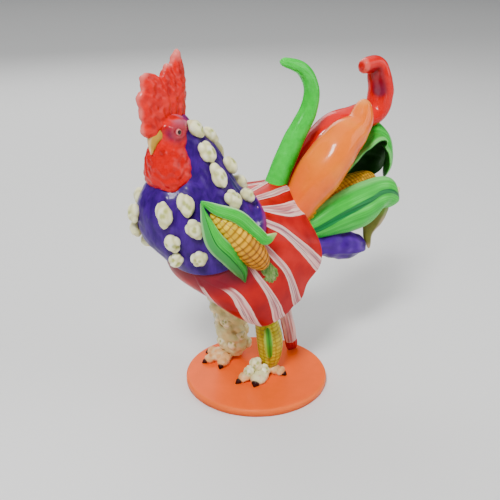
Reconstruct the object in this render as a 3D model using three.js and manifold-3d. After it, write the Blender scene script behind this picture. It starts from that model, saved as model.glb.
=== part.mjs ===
// A cast and painted rooster sculpture made up of food, standing on a round disc.
// Millimetres, +Z up. The origin is the centre of the disc's underside and the bird faces -X.

import * as THREE from "three";
import { mergeVertices } from "three/addons/utils/BufferGeometryUtils.js";
import Module from "manifold-3d";

const wasm = await Module();
wasm.setup();

// Disc
const discRadius = 39;
const discThickness = 4;
const discEdgeRadius = 1.5;

// Figure: its height above the disc, and how far its middle plane stands behind the disc's centre
const figureHeight = 177;
const figureSetback = 8;

// Thicknesses and greatest half widths of what the figure is made of
const skirtThickness = 3;
const capeStep = 1.4;
const combThickness = 6.4;
const headRadius = 12.2;
const headTurn = THREE.MathUtils.degToRad(20);
const popcornRadius = 4.7;
const popcornStandOff = 1.2;
const chiliRadius = 6;
const orangePepperRadius = 12;
const redPepperRadius = 8.5;
const tailCobRadius = 8.7;
const wingCobRadius = 7.2;
const leafThickness = 2.6;
const purpleChunkRadius = 7.6;
const legRadius = 7.2;
const toeRadius = 2.9;
const stripHalfWidth = 4;
const stripThickness = 4;

// The places below are drawn for a figure of this height and scale with it.
const drawnHeight = 177;
const share = figureHeight / drawnHeight;

const at = ([x, y, z]) => new THREE.Vector3(x, y, z).multiplyScalar(share);
const mix = (a, b, t) => a.clone().lerp(b, t);
const scaled = (list, factor) => list.map((value) => value * factor);
const mirrored = (point) => [point[0], -point[1], point[2]];
const joined = (parts) => parts.reduce((whole, part) => whole.add(part));

// Value of a list of numbers at t from 0 to 1, rounded off between its entries.
function along(list, t) {
  const place = t * (list.length - 1);
  const i = Math.min(Math.floor(place), list.length - 2);
  const near = list[Math.max(i - 1, 0)];
  const far = list[Math.min(i + 2, list.length - 1)];
  const f = place - i;
  const rise = (list[i + 1] - near) / 2;
  const leave = (far - list[i]) / 2;
  const gap = list[i + 1] - list[i];
  return list[i] + rise * f + (3 * gap - 2 * rise - leave) * f * f + (rise + leave - 2 * gap) * f ** 3;
}

function solid(geometry) {
  geometry.deleteAttribute("normal");
  geometry.deleteAttribute("uv");
  const merged = mergeVertices(geometry);
  const corners = new Uint32Array(merged.index.array);
  const make = () =>
    new wasm.Manifold(
      new wasm.Mesh({ numProp: 3, vertProperties: merged.attributes.position.array, triVerts: corners }),
    );
  const made = make();
  if (made.volume() > 0) return made;
  for (let i = 0; i < corners.length; i += 3) {
    [corners[i + 1], corners[i + 2]] = [corners[i + 2], corners[i + 1]];
  }
  return make();
}

// Closed skin through rows of points: pointAt(row share, angle) gives one point at each end.
function skin(rows, sides, pointAt) {
  const geometry = new THREE.SphereGeometry(1, sides, rows);
  const position = geometry.getAttribute("position");
  for (let i = 0; i < position.count; i++) {
    const row = Math.floor(i / (sides + 1));
    const side = (i % (sides + 1)) % sides;
    const p = pointAt(row / rows, (2 * Math.PI * side) / sides);
    position.setXYZ(i, p.x, p.y, p.z);
  }
  return solid(geometry);
}

// Tapering form along a smooth path. wide lies across the path in its plane, deep along face.
// blunt sets how square the ends are, cup bends the edges towards face, relief scales the section.
function limb({
  path,
  wide,
  deep = wide,
  face = [0, 1, 0],
  rows = 8,
  sides = 8,
  blunt = 8,
  cup = 0,
  relief = () => 1,
}) {
  const curve = new THREE.CatmullRomCurve3(path.map(at));
  const faceOf = new THREE.Vector3(...face);
  return skin(rows, sides, (row, angle) => {
    const t = 0.5 - 0.5 * Math.cos(Math.PI * row);
    const round = Math.sqrt(Math.max(0, 1 - Math.abs(2 * t - 1) ** blunt));
    const tangent = curve.getTangent(Math.min(Math.max(t, 0.001), 0.999));
    const across = new THREE.Vector3().crossVectors(faceOf, tangent).normalize();
    const out = new THREE.Vector3().crossVectors(tangent, across);
    const scale = share * round * relief(t, angle);
    const width = along(wide, t) * scale * Math.cos(angle);
    const depth = along(deep, t) * scale * Math.sin(angle) + cup * share * round * Math.cos(angle) ** 2;
    return curve.getPoint(t).addScaledVector(across, width).addScaledVector(out, depth);
  });
}

const lump = (centre, radii, rows = 5, sides = 7) =>
  skin(rows, sides, (row, angle) => {
    const down = Math.PI * row;
    const ring = Math.sin(down);
    return at(centre).add(
      at([radii[0] * ring * Math.cos(angle), radii[1] * ring * Math.sin(angle), radii[2] * Math.cos(down)]),
    );
  });

// Ribs of the striped skirt, from the back's middle line over one flank to the breast:
// each runs from under the cape's edge to the wavy hem.
const capeEdge = [
  [-3, 0, 104.5],
  [-4, -11, 104],
  [-5, -19, 102.2],
  [-5.8, -25.5, 99],
  [-7.2, -29, 92],
  [-13, -30, 85],
  [-21, -29.5, 79],
  [-29, -27, 75],
  [-37, -22.5, 73.3],
  [-43, -13, 73],
  [-47, 0, 75.5],
];
const hem = [
  [17.7, 0, 107.4],
  [18.8, -9, 104],
  [22.5, -17, 94],
  [29, -26.5, 70.5],
  [20.9, -28, 60],
  [15.5, -28, 50],
  [8, -27.5, 43.5],
  [-1.5, -26, 38],
  [-12, -22, 39.5],
  [-21.5, -13, 51],
  [-27, 0, 53.8],
];

// Closed loop over a half list of points and its mirror image. Angle 0 is the back's middle line.
function loop(half) {
  const other = half.slice(1, -1).reverse().map(mirrored);
  const curve = new THREE.CatmullRomCurve3([...half, ...other].map(at), true);
  return (angle) => curve.getPoint((angle / (2 * Math.PI)) % 1);
}
const capeEdgeAt = loop(capeEdge);
const hemAt = loop(hem);
const breastCentre = [-22, 0, 88];
const mouthCentre = [3, 0, 72];
const skirtBulge = 3;
const skirtFrontBulge = 5;

// Outer surface of the skirt: t is 0 at the cape's edge and 1 at the hem.
function skirtAt(t, angle) {
  const chord = mix(capeEdgeAt(angle), hemAt(angle), t);
  const axis = mix(at(breastCentre), at(mouthCentre), t);
  const outward = chord.clone().sub(axis).normalize();
  const front = (0.5 - 0.5 * Math.cos(angle)) ** 4;
  const bulge = skirtBulge * Math.sin(angle) ** 2 + skirtFrontBulge * front;
  return chord.addScaledVector(outward, bulge * Math.sin(Math.PI * t) * share);
}

function inside(t, angle, depth) {
  const point = skirtAt(t, angle);
  const axis = mix(at(breastCentre), at(mouthCentre), t);
  return point.addScaledVector(axis.sub(point).normalize(), depth);
}

// The skirt's own front end lies deep in the breast.
const skirtRoot = [-32, 0, 92];
const skirtTuck = 6;

function makeSkirt() {
  const sides = 36;
  const rings = [
    () => at(skirtRoot),
    (a) => inside(-0.3, a, skirtTuck),
    (a) => inside(-0.12, a, 0.8),
    (a) => skirtAt(0.2, a),
    (a) => skirtAt(0.42, a),
    (a) => skirtAt(0.64, a),
    (a) => skirtAt(0.84, a),
    (a) => skirtAt(1, a),
    (a) => inside(1, a, skirtThickness),
    (a) => inside(0.66, a, 2 * skirtThickness),
    (a) => mix(inside(0.5, a, 3 * skirtThickness), at(mouthCentre), 0.45),
    () => at(mouthCentre),
  ];
  const last = rings.length - 1;
  return skin(last, sides, (row, angle) => rings[Math.round(row * last)](angle));
}

// Rings of the neck and breast: back, flank and front of each.
const breastRings = [
  [[-35, 0, 147], [-41, -6, 145.5], [-47, 0, 144]],
  [[-30, 0, 141], [-39, -8.5, 138], [-48, 0, 136]],
  [[-20.5, 0, 131], [-33, -11.5, 128], [-48, 0, 127]],
  [[-14, 0, 121], [-31, -15.5, 118], [-52, 0, 118]],
  [[-9.5, 0, 111], [-29, -22.5, 107], [-58.5, 0, 108.5]],
  [[-4.5, 0, 107], [-24, -27.5, 96], [-60.5, 0, 98]],
  [[-3, 0, 106], [-18, -29.8, 86], [-57.5, 0, 85.5]],
];

function breastRingAt([back, flank, front], angle) {
  const side = Math.sin(angle);
  const forward = Math.cos(angle);
  const centre = at([flank[0], 0, flank[2]]);
  const end = at(forward > 0 ? back : front);
  const point = centre.clone().lerp(end, Math.abs(forward));
  point.y = at(flank).y * side;
  return point;
}

// Outer surface of the neck and breast: t is 0 at the head and 1 at the cape's edge.
function breastAt(t, angle) {
  const stations = breastRings.map((ring) => breastRingAt(ring, angle));
  const edge = capeEdgeAt(angle);
  const outward = edge.clone().sub(at(breastCentre)).normalize();
  stations.push(edge.addScaledVector(outward, capeStep));
  return new THREE.Vector3(
    along(stations.map((p) => p.x), t),
    along(stations.map((p) => p.y), t),
    along(stations.map((p) => p.z), t),
  );
}

const neckTop = [-42, 0, 147];
const breastTuck = 11;

function makeBreast() {
  const rows = 12;
  const surfaceRows = rows - 2;
  return skin(rows, 24, (row, angle) => {
    const index = Math.round(row * rows);
    if (index === 0) return at(neckTop);
    if (index === rows) return at(breastCentre);
    if (index === rows - 1) return inside(0, angle, breastTuck);
    return breastAt((index - 1) / (surfaceRows - 1), angle);
  });
}

// Popcorn stuck over the neck and breast: place down the surface, angle round it, length.
const popcorn = [
  [0.15, 0.8, 1.2],
  [0.28, 1.2, 1.3],
  [0.44, 1.24, 1.5],
  [0.59, 1.15, 1.1],
  [0.66, 0.68, 0.9],
  [0.24, 0.15, 1.2],
  [0.43, 0.5, 1.2],
  [0.6, 0.2, 1],
  [0.57, 2.08, 1.4],
  [0.63, 2.46, 1.5],
  [0.71, 2.06, 1.1],
  [0.8, 2.42, 1.1],
  [0.9, 2.58, 0.8],
  [0.89, 2.22, 0.9],
  [0.69, -3.05, 1.2],
  [0.64, -2.45, 1.1],
  [0.8, -2.9, 1],
  [0.2, -0.7, 1.2],
  [0.37, -0.35, 1.3],
  [0.36, -1.25, 1.3],
  [0.53, -0.85, 1.3],
  [0.56, -1.9, 1.3],
  [0.72, -2.1, 1.1],
  [0.84, -2.4, 1],
  [0.9, -2.72, 0.9],
];

// A lump standing on a surface, longest down the surface.
function popcornOn(surface, [t, angle, length], index) {
  const here = surface(t, angle);
  const down = surface(Math.min(t + 0.02, 1), angle).sub(here).normalize();
  const round = surface(t, angle + 0.02).sub(here).normalize();
  const out = new THREE.Vector3().crossVectors(down, round).normalize();
  const centre = here.addScaledVector(out, popcornStandOff);
  const radius = popcornRadius * share;
  const wobble = 0.12 * Math.sin(2.4 * index);
  return skin(4, 6, (row, around) => {
    const polar = Math.PI * row;
    const ring = Math.sin(polar) * radius * (1 + 0.1 * Math.cos(2 * around + index));
    return centre
      .clone()
      .addScaledVector(out, Math.cos(polar) * radius * 0.72)
      .addScaledVector(round, ring * Math.cos(around) * (0.88 - wobble))
      .addScaledVector(down, ring * Math.sin(around) * length);
  });
}

// The head is drawn straight ahead, x forwards and y to the bird's left, then turned a little.
const headPlace = [-43, -2.5, 0];

function turned(part) {
  const place = at(headPlace);
  const degrees = THREE.MathUtils.radToDeg(headTurn);
  return part.rotate([0, 0, 180 + degrees]).translate([place.x, place.y, place.z]);
}

// Face and wattles in one: radius and centre of the round section from the wattles' tips upwards.
const faceHeights = [111, 112.4, 115.5, 120.5, 127, 134, 140, 145, 149.5];
const faceRadii = [0, 0.74, 0.98, 1, 0.9, 0.74, 0.72, 0.62, 0];
const faceCentres = [0.5, 0.8, 1.2, 1.8, 2, 1.4, 0.8, 0, -0.6];
const wattleCleft = 0.22;

function makeFace() {
  return skin(11, 16, (row, angle) => {
    const z = along(faceHeights, row);
    const hang = Math.max(0, 1 - row / 0.6);
    const cleft = 1 - wattleCleft * hang * Math.max(0, Math.cos(angle)) ** 12;
    const radius = Math.max(0, along(faceRadii, row)) * headRadius * cleft;
    return at([along(faceCentres, row) + radius * Math.cos(angle), radius * Math.sin(angle), z]);
  });
}

// Lobes of the comb: where each starts and ends in the head's middle plane, and its half widths.
const combLobes = [
  { root: [-2.4, 142], tip: [-5.8, 177], wide: [6.5, 6.8, 6, 3.6] },
  { root: [0, 146], tip: [0.4, 171.6], wide: [7, 7.6, 6.6, 3.8] },
  { root: [0, 148], tip: [14.8, 168], wide: [7, 8.4, 6.4, 3.8] },
  { root: [1, 147], tip: [18.6, 159.4], wide: [7, 8.4, 6.2, 3.8] },
  { root: [2, 148], tip: [18.4, 150.6], wide: [7, 7.6, 6, 4] },
  { root: [2, 144.5], tip: [17.8, 142.6], wide: [6, 6, 5, 4] },
];

function makeComb() {
  const deep = scaled([0.5, 0.52, 0.48, 0.42], combThickness);
  const lobes = combLobes.map(({ root, tip, wide }) => {
    const middle = [(root[0] + tip[0]) / 2, 0, (root[1] + tip[1]) / 2];
    const path = [[root[0], 0, root[1]], middle, [tip[0], 0, tip[1]]];
    return limb({ path, wide, deep, rows: 6, blunt: 6 });
  });
  return joined(lobes);
}

const eyeRadii = [2, 1.5, 2.1];

function makeHead() {
  const beak = limb({
    path: [[3, 0, 141], [9.6, 0, 138.4], [12.6, 0, 130.6]],
    wide: [4.6, 4.2, 1.1],
    deep: [5.4, 3.4, 1],
    rows: 6,
    blunt: 3,
  });
  const eyes = [-1, 1].map((side) => lump([2.6, side * 8.2, 141], eyeRadii, 4, 8));
  return turned(joined([makeFace(), makeComb(), beak, ...eyes]));
}

// Kernels show as rings and rows standing a little proud.
const kernels = (rings, rows, depth) => (t, angle) =>
  1 - depth * (0.5 + 0.5 * Math.cos(2 * Math.PI * rings * t)) - 0.4 * depth * Math.cos(rows * angle);

// An ear of corn lies on each flank as the wing, its husk open in two leaves.
function makeWing(side) {
  const placed = (list) => list.map(([x, y, z]) => [x, -side * y, z]);
  const cob = limb({
    path: placed([[-34, -27, 105.5], [-20.5, -32, 90], [-7, -30.5, 74]]),
    wide: scaled([0.45, 1, 0.8], wingCobRadius),
    deep: scaled([0.5, 1, 0.9], wingCobRadius),
    rows: 13,
    sides: 10,
    blunt: 5,
    relief: kernels(6, 5, 0.07),
  });
  const upperLeaf = limb({
    path: placed([
      [-37.6, -23.5, 110.2],
      [-32.5, -30, 107.6],
      [-23.5, -33.5, 103.6],
      [-15.5, -35, 95.6],
      [-9.5, -35.5, 90.6],
      [-4.2, -37, 93.2],
    ]),
    wide: [1.4, 2.6, 3.4, 3.4, 2.8, 1.2],
    deep: scaled([0.3, 0.8, 1, 1, 0.7, 0.4], leafThickness),
    rows: 9,
    sides: 6,
  });
  const lowerLeaf = limb({
    path: placed([
      [-37.7, -24, 109.9],
      [-38, -30, 103],
      [-35, -33, 93],
      [-28, -34, 84.6],
      [-21, -32, 75],
      [-18.3, -31, 67.6],
    ]),
    wide: [1, 2.6, 4.6, 4.8, 3.6, 0.9],
    deep: scaled([0.3, 0.8, 1, 1, 0.8, 0.5], leafThickness),
    rows: 8,
    sides: 6,
  });
  const tuft = limb({
    path: placed([[-9, -28.5, 76.5], [-4.5, -30.5, 69.5], [-2, -29.5, 62]]),
    wide: [3.8, 4.6, 2.6],
    deep: [3.4, 3, 1.2],
    rows: 5,
  });
  return joined([cob, upperLeaf, lowerLeaf, tuft]);
}

function makeChili() {
  return limb({
    path: [
      [9, 0, 84],
      [16, 0, 106],
      [25.5, 0, 127.5],
      [34, 0, 142],
      [35.6, 0, 153],
      [30, 0, 162.5],
      [17, 0, 167.8],
    ],
    wide: scaled([1, 1, 0.9, 0.76, 0.68, 0.56, 0.42], chiliRadius),
    rows: 13,
    sides: 8,
    blunt: 14,
  });
}

function makeOrangePepper() {
  return limb({
    path: [
      [12, -6, 76],
      [25, -9, 96],
      [35, -12.5, 112],
      [47, -13, 126.5],
      [58.5, -11, 134.5],
      [63, -9, 146.5],
    ],
    wide: scaled([0.66, 0.8, 1, 0.87, 0.6, 0.42], orangePepperRadius),
    rows: 11,
    sides: 10,
    blunt: 9,
  });
}

// The red pepper arches behind the orange one and hooks back, hollow on the side of the bend.
function makeRedPepper() {
  const towardsBend = THREE.MathUtils.degToRad(225);
  const hollow = (t, angle) => {
    const facing = Math.max(0, Math.cos(angle - towardsBend));
    return 1 - 0.55 * facing ** 2 * along([0, 0, 0, 0.6, 1, 1, 0.3], t);
  };
  return limb({
    path: [
      [14, 4, 74],
      [31, 6, 97],
      [41, 6, 115.5],
      [53, 6, 128.5],
      [68, 5, 132.8],
      [78.5, 3, 137.5],
      [80.2, 1.5, 146],
      [77.6, 0, 154.5],
      [75.5, 0, 161.2],
      [64.5, -1, 161.6],
    ],
    wide: scaled([0.8, 0.94, 1, 1, 0.92, 0.84, 0.82, 0.78, 0.62, 0.52], redPepperRadius),
    rows: 16,
    sides: 10,
    blunt: 16,
    relief: hollow,
  });
}

// Ear of corn in the tail, with husk leaves in front, behind and arching over it.
function makeTailCorn() {
  const cob = limb({
    path: [[14, -5, 76], [38, -6, 88], [58, -6, 96.5], [75, -5, 101.5]],
    wide: scaled([0.9, 0.95, 1, 0.7], tailCobRadius),
    rows: 8,
    sides: 8,
    relief: kernels(4, 4, 0.06),
  });
  const nearLeaf = limb({
    path: [
      [14, -9, 76],
      [32, -14, 81],
      [47, -17.5, 87],
      [62, -17.5, 90.3],
      [76, -15, 92.8],
      [88.5, -11, 87.5],
    ],
    wide: [5, 8.5, 12, 13.1, 10.8, 8.5],
    deep: scaled([0.7, 0.8, 0.8, 0.7, 0.6, 0.4], leafThickness),
    rows: 8,
    cup: 4,
  });
  const farLeaf = limb({
    path: [
      [14, 11, 80],
      [34, 13, 91],
      [52, 13, 101],
      [66, 12, 108],
      [78, 10, 110],
      [91, 7.5, 107],
    ],
    wide: [5, 9, 13, 14, 13, 10],
    deep: scaled([0.7, 0.8, 0.8, 0.7, 0.6, 0.4], leafThickness),
    rows: 8,
    cup: -4,
  });
  const hood = limb({
    path: [
      [40, 0, 94],
      [56, -2, 109],
      [66.5, -2, 119.5],
      [77, -2, 125.4],
      [84, -2.5, 119.5],
      [85.5, -3, 110],
      [82.5, -3.5, 100],
    ],
    wide: scaled([0.8, 0.9, 0.9, 0.9, 0.9, 0.8, 0.5], leafThickness),
    deep: [5, 9, 11, 11.5, 11, 9.5, 6],
    face: [0.52, 0.82, 0.24],
    rows: 11,
    sides: 6,
  });
  const droopingLeaf = limb({
    path: [[76, -10, 90], [72, -10.5, 80], [69.5, -10, 71], [70.5, -10, 61.5]],
    wide: [9, 7.5, 3.4, 1.2],
    deep: scaled([0.7, 0.7, 0.6, 0.4], leafThickness),
    rows: 6,
    sides: 6,
  });
  return joined([cob, nearLeaf, farLeaf, hood, droopingLeaf]);
}

function makePurpleChunk() {
  return limb({
    path: [[12, -5, 74], [36, -8, 70.5], [54, -9, 66.8], [68.5, -8.5, 63.6]],
    wide: scaled([0.9, 0.9, 1, 0.62], purpleChunkRadius),
    deep: scaled([1, 1, 1.1, 0.7], purpleChunkRadius),
    rows: 7,
    sides: 7,
    blunt: 5,
  });
}

// Toes spread on the disc from a foot at heel, each to a dark claw.
function makeFoot(heel, claws) {
  return joined(
    claws.map(([x, y]) =>
      limb({
        path: [
          [heel[0], heel[1], 3.4],
          [(heel[0] + x) / 2, (heel[1] + y) / 2, 2],
          [heel[0] + 0.78 * (x - heel[0]), heel[1] + 0.78 * (y - heel[1]), 1.8],
          [x, y, 0.3],
        ],
        wide: scaled([1.3, 1.1, 1, 0.3], toeRadius),
        deep: scaled([1.2, 0.9, 0.8, 0.3], toeRadius),
        face: [0, 0, 1],
        rows: 4,
        sides: 6,
        blunt: 6,
      }),
    ),
  );
}

// The near leg is a small ear of corn, the far one is clad in popcorn.
const legKernels = 8;
const legKernelRadii = [4.2, 4.2, 4.8];

function makeNearLeg() {
  const ear = limb({
    path: [[4, -12, 62], [2.6, -13, 38], [5.8, -13, 20], [6.6, -11, 1]],
    wide: scaled([1, 0.85, 1, 0.7], legRadius),
    rows: 9,
    sides: 8,
    relief: kernels(4, 4, 0.05),
  });
  const foot = makeFoot([5, -11], [[-9.3, -23], [12.3, -20.5], [-16.6, -15.5], [14, -3]]);
  return ear.add(foot);
}

function makeFarLeg() {
  const path = [[-8, 10, 66], [-11, 11, 46], [-6, 12, 25], [-3.5, 12, 1]];
  const leg = limb({ path, wide: scaled([1.2, 1.2, 1.25, 1.2], legRadius), rows: 8, sides: 9 });
  const curve = new THREE.CatmullRomCurve3(path.map((p) => new THREE.Vector3(...p)));
  const popped = [];
  for (let i = 0; i < legKernels; i++) {
    const t = 0.3 + (0.55 * i) / (legKernels - 1);
    const angle = 2.4 * i;
    const p = curve.getPoint(t);
    const reach = legRadius * (1.1 - 0.35 * t);
    const place = [p.x + reach * Math.cos(angle), p.y + reach * Math.sin(angle), p.z];
    popped.push(lump(place, legKernelRadii, 4, 6));
  }
  const foot = makeFoot([-7, 12], [[-17.5, 22.3], [-24, 12.5], [-18, 2], [4, 20]]);
  return joined([leg, ...popped, foot]);
}

// A striped strip hangs from the hem to the disc behind the legs.
function makeStrip() {
  return limb({
    path: [[13, 4, 66], [19.5, 4, 44], [25.5, 4, 23], [30.7, 4, -1]],
    wide: scaled([1, 1, 1, 1], stripHalfWidth),
    deep: scaled([1, 1, 1, 1], stripThickness / 2),
    rows: 6,
    sides: 6,
    blunt: 20,
  });
}

// The body behind the skirt's mouth, which the legs and the tail grow out of.
const bellyCentre = [0, 0, 72];
const bellyRadii = [21, 22, 22];

function makeFigure() {
  const figure = joined([
    makeSkirt(),
    makeBreast(),
    lump(bellyCentre, bellyRadii, 8, 12),
    ...popcorn.map((place, index) => popcornOn(breastAt, place, index)),
    makeHead(),
    makeWing(1),
    makeWing(-1),
    makeChili(),
    makeOrangePepper(),
    makeRedPepper(),
    makeTailCorn(),
    makePurpleChunk(),
    makeNearLeg(),
    makeFarLeg(),
    makeStrip(),
  ]);
  // The feet are cut off flat where they stand on the disc.
  const depth = 20;
  const under = new THREE.BoxGeometry(4 * figureHeight, 4 * figureHeight, depth).translate(0, 0, -depth / 2);
  return figure.subtract(solid(under));
}

function meshOf(made) {
  const mesh = made.getMesh();
  const points = new Float32Array(mesh.numVert * 3);
  for (let i = 0; i < mesh.numVert; i++) {
    points.set(mesh.vertProperties.subarray(i * mesh.numProp, i * mesh.numProp + 3), i * 3);
  }
  const geometry = new THREE.BufferGeometry();
  geometry.setAttribute("position", new THREE.BufferAttribute(points, 3));
  geometry.setIndex(new THREE.BufferAttribute(mesh.triVerts, 1));
  geometry.computeVertexNormals();
  return geometry;
}

function discGeometry() {
  const flat = discRadius - discEdgeRadius;
  const profile = new THREE.Path();
  profile.moveTo(0, 0);
  profile.lineTo(discRadius, 0);
  profile.lineTo(discRadius, discThickness - discEdgeRadius);
  profile.absarc(flat, discThickness - discEdgeRadius, discEdgeRadius, 0, Math.PI / 2);
  profile.lineTo(0, discThickness);
  return new THREE.LatheGeometry(profile.getPoints(3), 48).rotateX(Math.PI / 2);
}

const paint = (color, roughness) => new THREE.MeshStandardMaterial({ color, roughness, metalness: 0 });

const disc = new THREE.Mesh(discGeometry(), paint(0xf0783c, 0.4));
disc.name = "base_disc";

const rooster = new THREE.Mesh(meshOf(makeFigure()), paint(0xc82d28, 0.3));
rooster.name = "rooster";
rooster.position.set(0, figureSetback, discThickness);

const sculpture = new THREE.Group();
sculpture.add(disc, rooster);

export default sculpture;
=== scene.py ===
"""A cast and painted rooster made up of food, on a round disc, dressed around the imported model.

Places on the figure are in millimetres above the disc's top, as drawn; build() turns them into metres.
"""
import math

import bpy
import numpy as np
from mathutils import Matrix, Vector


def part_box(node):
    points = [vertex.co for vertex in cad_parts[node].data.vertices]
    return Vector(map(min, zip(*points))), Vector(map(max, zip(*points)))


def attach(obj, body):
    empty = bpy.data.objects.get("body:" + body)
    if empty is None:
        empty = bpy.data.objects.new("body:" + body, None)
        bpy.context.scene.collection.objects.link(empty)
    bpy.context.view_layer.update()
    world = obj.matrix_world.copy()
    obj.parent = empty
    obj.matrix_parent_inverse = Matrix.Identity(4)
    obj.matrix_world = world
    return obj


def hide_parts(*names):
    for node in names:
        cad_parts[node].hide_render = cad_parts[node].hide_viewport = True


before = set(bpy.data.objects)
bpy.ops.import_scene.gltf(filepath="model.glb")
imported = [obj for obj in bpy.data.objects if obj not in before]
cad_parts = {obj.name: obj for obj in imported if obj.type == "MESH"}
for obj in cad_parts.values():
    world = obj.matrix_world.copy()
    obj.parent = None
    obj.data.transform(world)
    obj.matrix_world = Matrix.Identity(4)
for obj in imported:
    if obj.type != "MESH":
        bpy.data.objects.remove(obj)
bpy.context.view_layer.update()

# The frame
MM = 0.001
DISC_LOW, DISC_HIGH = (np.array(corner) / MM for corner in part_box("base_disc"))
DISC_RADIUS = (DISC_HIGH[0] - DISC_LOW[0]) / 2
DISC_TOP = DISC_HIGH[2]
FIGURE_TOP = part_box("rooster")[1][2] / MM
DRAWN_HEIGHT = 177.0
SHARE = (FIGURE_TOP - DISC_TOP) / DRAWN_HEIGHT
SETBACK = 8.0
FIGURE_PLACE = np.array([0, SETBACK, DISC_TOP])

# Sizes that the solids have too
SKIRT_THICKNESS = 3.0
CAPE_STEP = 1.4
COMB_THICKNESS = 6.4
HEAD_RADIUS = 12.2
HEAD_TURN = math.radians(20)
POPCORN_RADIUS = 4.7
POPCORN_STAND_OFF = 1.2
CHILI_RADIUS = 6.0
ORANGE_PEPPER_RADIUS = 12.0
RED_PEPPER_RADIUS = 8.5
TAIL_COB_RADIUS = 8.7
WING_COB_RADIUS = 7.2
LEAF_THICKNESS = 2.6
PURPLE_CHUNK_RADIUS = 7.6
LEG_RADIUS = 7.2
TOE_RADIUS = 2.9
STRIP_HALF_WIDTH = 4.0
STRIP_THICKNESS = 4.0

SIDEWAYS = (0, 1, 0)
DOWN = np.array([0, 0, -1.0])


# Curves and lists

def entries(t, count):
    """For t from 0 to 1 over a list of count entries: the entry before it, and its share of the way on."""
    place = np.asarray(t, float) * (count - 1)
    i = np.clip(np.floor(place).astype(int), 0, count - 2)
    return i, place - i


def eased(near, here, after, far, f):
    """Value at a share f of the way from here to after, rounded off by the values on both sides."""
    rise, leave, gap = (after - near) / 2, (far - here) / 2, after - here
    return here + rise * f + (3 * gap - 2 * rise - leave) * f ** 2 + (rise + leave - 2 * gap) * f ** 3


def along(values, t):
    """Value of a list at t from 0 to 1, rounded off between its entries."""
    values = np.asarray(values, float)
    i, f = entries(t, len(values))
    last = len(values) - 1
    return eased(values[np.maximum(i - 1, 0)], values[i], values[i + 1], values[np.minimum(i + 2, last)], f)


def curve(points, t, closed=False):
    """Points of a smooth curve through the given ones, at t from 0 to 1."""
    points, t = np.asarray(points, float), np.asarray(t, float)
    count = len(points)
    if closed:
        place = (t % 1) * count
        i = np.floor(place).astype(int)
        f = place - i
        p0, p1, p2, p3 = (points[(i + k) % count] for k in (-1, 0, 1, 2))
    else:
        i, f = entries(t, count)
        padded = np.vstack([2 * points[0] - points[1], points, 2 * points[-1] - points[-2]])
        p0, p1, p2, p3 = (padded[i + k] for k in (0, 1, 2, 3))
    f = f[..., None]
    d0, d1, d2 = (
        np.maximum(np.linalg.norm(b - a, axis=-1, keepdims=True), 1e-6) ** 0.5
        for a, b in ((p0, p1), (p1, p2), (p2, p3))
    )
    m1 = ((p1 - p0) / d0 - (p2 - p0) / (d0 + d1) + (p2 - p1) / d1) * d1
    m2 = ((p2 - p1) / d1 - (p3 - p1) / (d1 + d2) + (p3 - p2) / d2) * d1
    return p1 + m1 * f + (3 * (p2 - p1) - 2 * m1 - m2) * f ** 2 + (m1 + m2 - 2 * (p2 - p1)) * f ** 3


def unit(v):
    return v / np.maximum(np.linalg.norm(v, axis=-1, keepdims=True), 1e-9)


# Shares from 0 to 1

def smooth_step(low, high, x):
    """0 up to low and 1 from high on, or the other way round where low is above high."""
    t = np.clip((x - low) / (high - low), 0, 1)
    return t * t * (3 - 2 * t)


def plateau(start, full, fading, end, x):
    """0 before start and after end, and 1 from full to fading."""
    return smooth_step(start, full, x) * smooth_step(end, fading, x)


def bell(x, middle, width):
    return np.exp(-((x - middle) / width) ** 2)


WAVES = 14


def ripple(points, size, seed):
    """Soft bumps, mostly between -1 and 1, with features of the given size in millimetres."""
    rng = np.random.default_rng(seed)
    directions = unit(rng.normal(size=(WAVES, 3))) * rng.uniform(0.7, 1.5, (WAVES, 1)) * 2 * math.pi / size
    phases = rng.uniform(0, 2 * math.pi, WAVES)
    total = np.zeros(points.shape[:-1])
    for direction, phase in zip(directions, phases):
        total += np.sin(points @ direction + phase)
    return total / math.sqrt(WAVES)


def patches(points, size, seed, low=0.2, high=1.2):
    """Soft patches where a ripple is high, or where it is low for a negative low and high."""
    return smooth_step(low, high, ripple(points, size, seed))


# Surfaces: arrays of points with a row axis and a side axis, closed at both ends

def turns(sides):
    """Angles of evenly spaced sides, as one row."""
    return (2 * math.pi * np.arange(sides) / sides)[None, :]


def sphere(rows, sides):
    """Rays out of a ball's middle, and the angle of each from the upper pole."""
    polar, turn = np.linspace(0, math.pi, rows + 1)[:, None], turns(sides)
    rays = [np.sin(polar) * np.cos(turn), np.sin(polar) * np.sin(turn), np.cos(polar) + 0 * turn]
    return np.stack(rays, axis=-1), polar + 0 * turn


def with_shut_ends(points):
    points[0], points[-1] = points[0].mean(axis=0), points[-1].mean(axis=0)
    return points


def normals(points):
    """Outward normals of a surface whose rows close on themselves."""
    down = np.gradient(points, axis=0)
    round_ = np.roll(points, -1, axis=1) - np.roll(points, 1, axis=1)
    out = unit(np.cross(round_, down))
    centre = points.mean(axis=1, keepdims=True)
    if np.sum(out[1:-1] * (points - centre)[1:-1]) < 0:
        out = -out
    out[0] = out[1].mean(axis=0)
    out[-1] = out[-2].mean(axis=0)
    return unit(out)


def pushed(points, amount):
    return with_shut_ends(points + normals(points) * amount[..., None])


def path_frame(path, t, face):
    """Directions across a path and out of its face, for each row of t."""
    near = np.clip(t[:, 0], 0.001, 0.999)
    tangent = unit(curve(path, near + 1e-4) - curve(path, near - 1e-4))
    across = unit(np.cross(np.array(face, float), tangent))
    return across[:, None, :], np.cross(tangent, across)[:, None, :]


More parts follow.
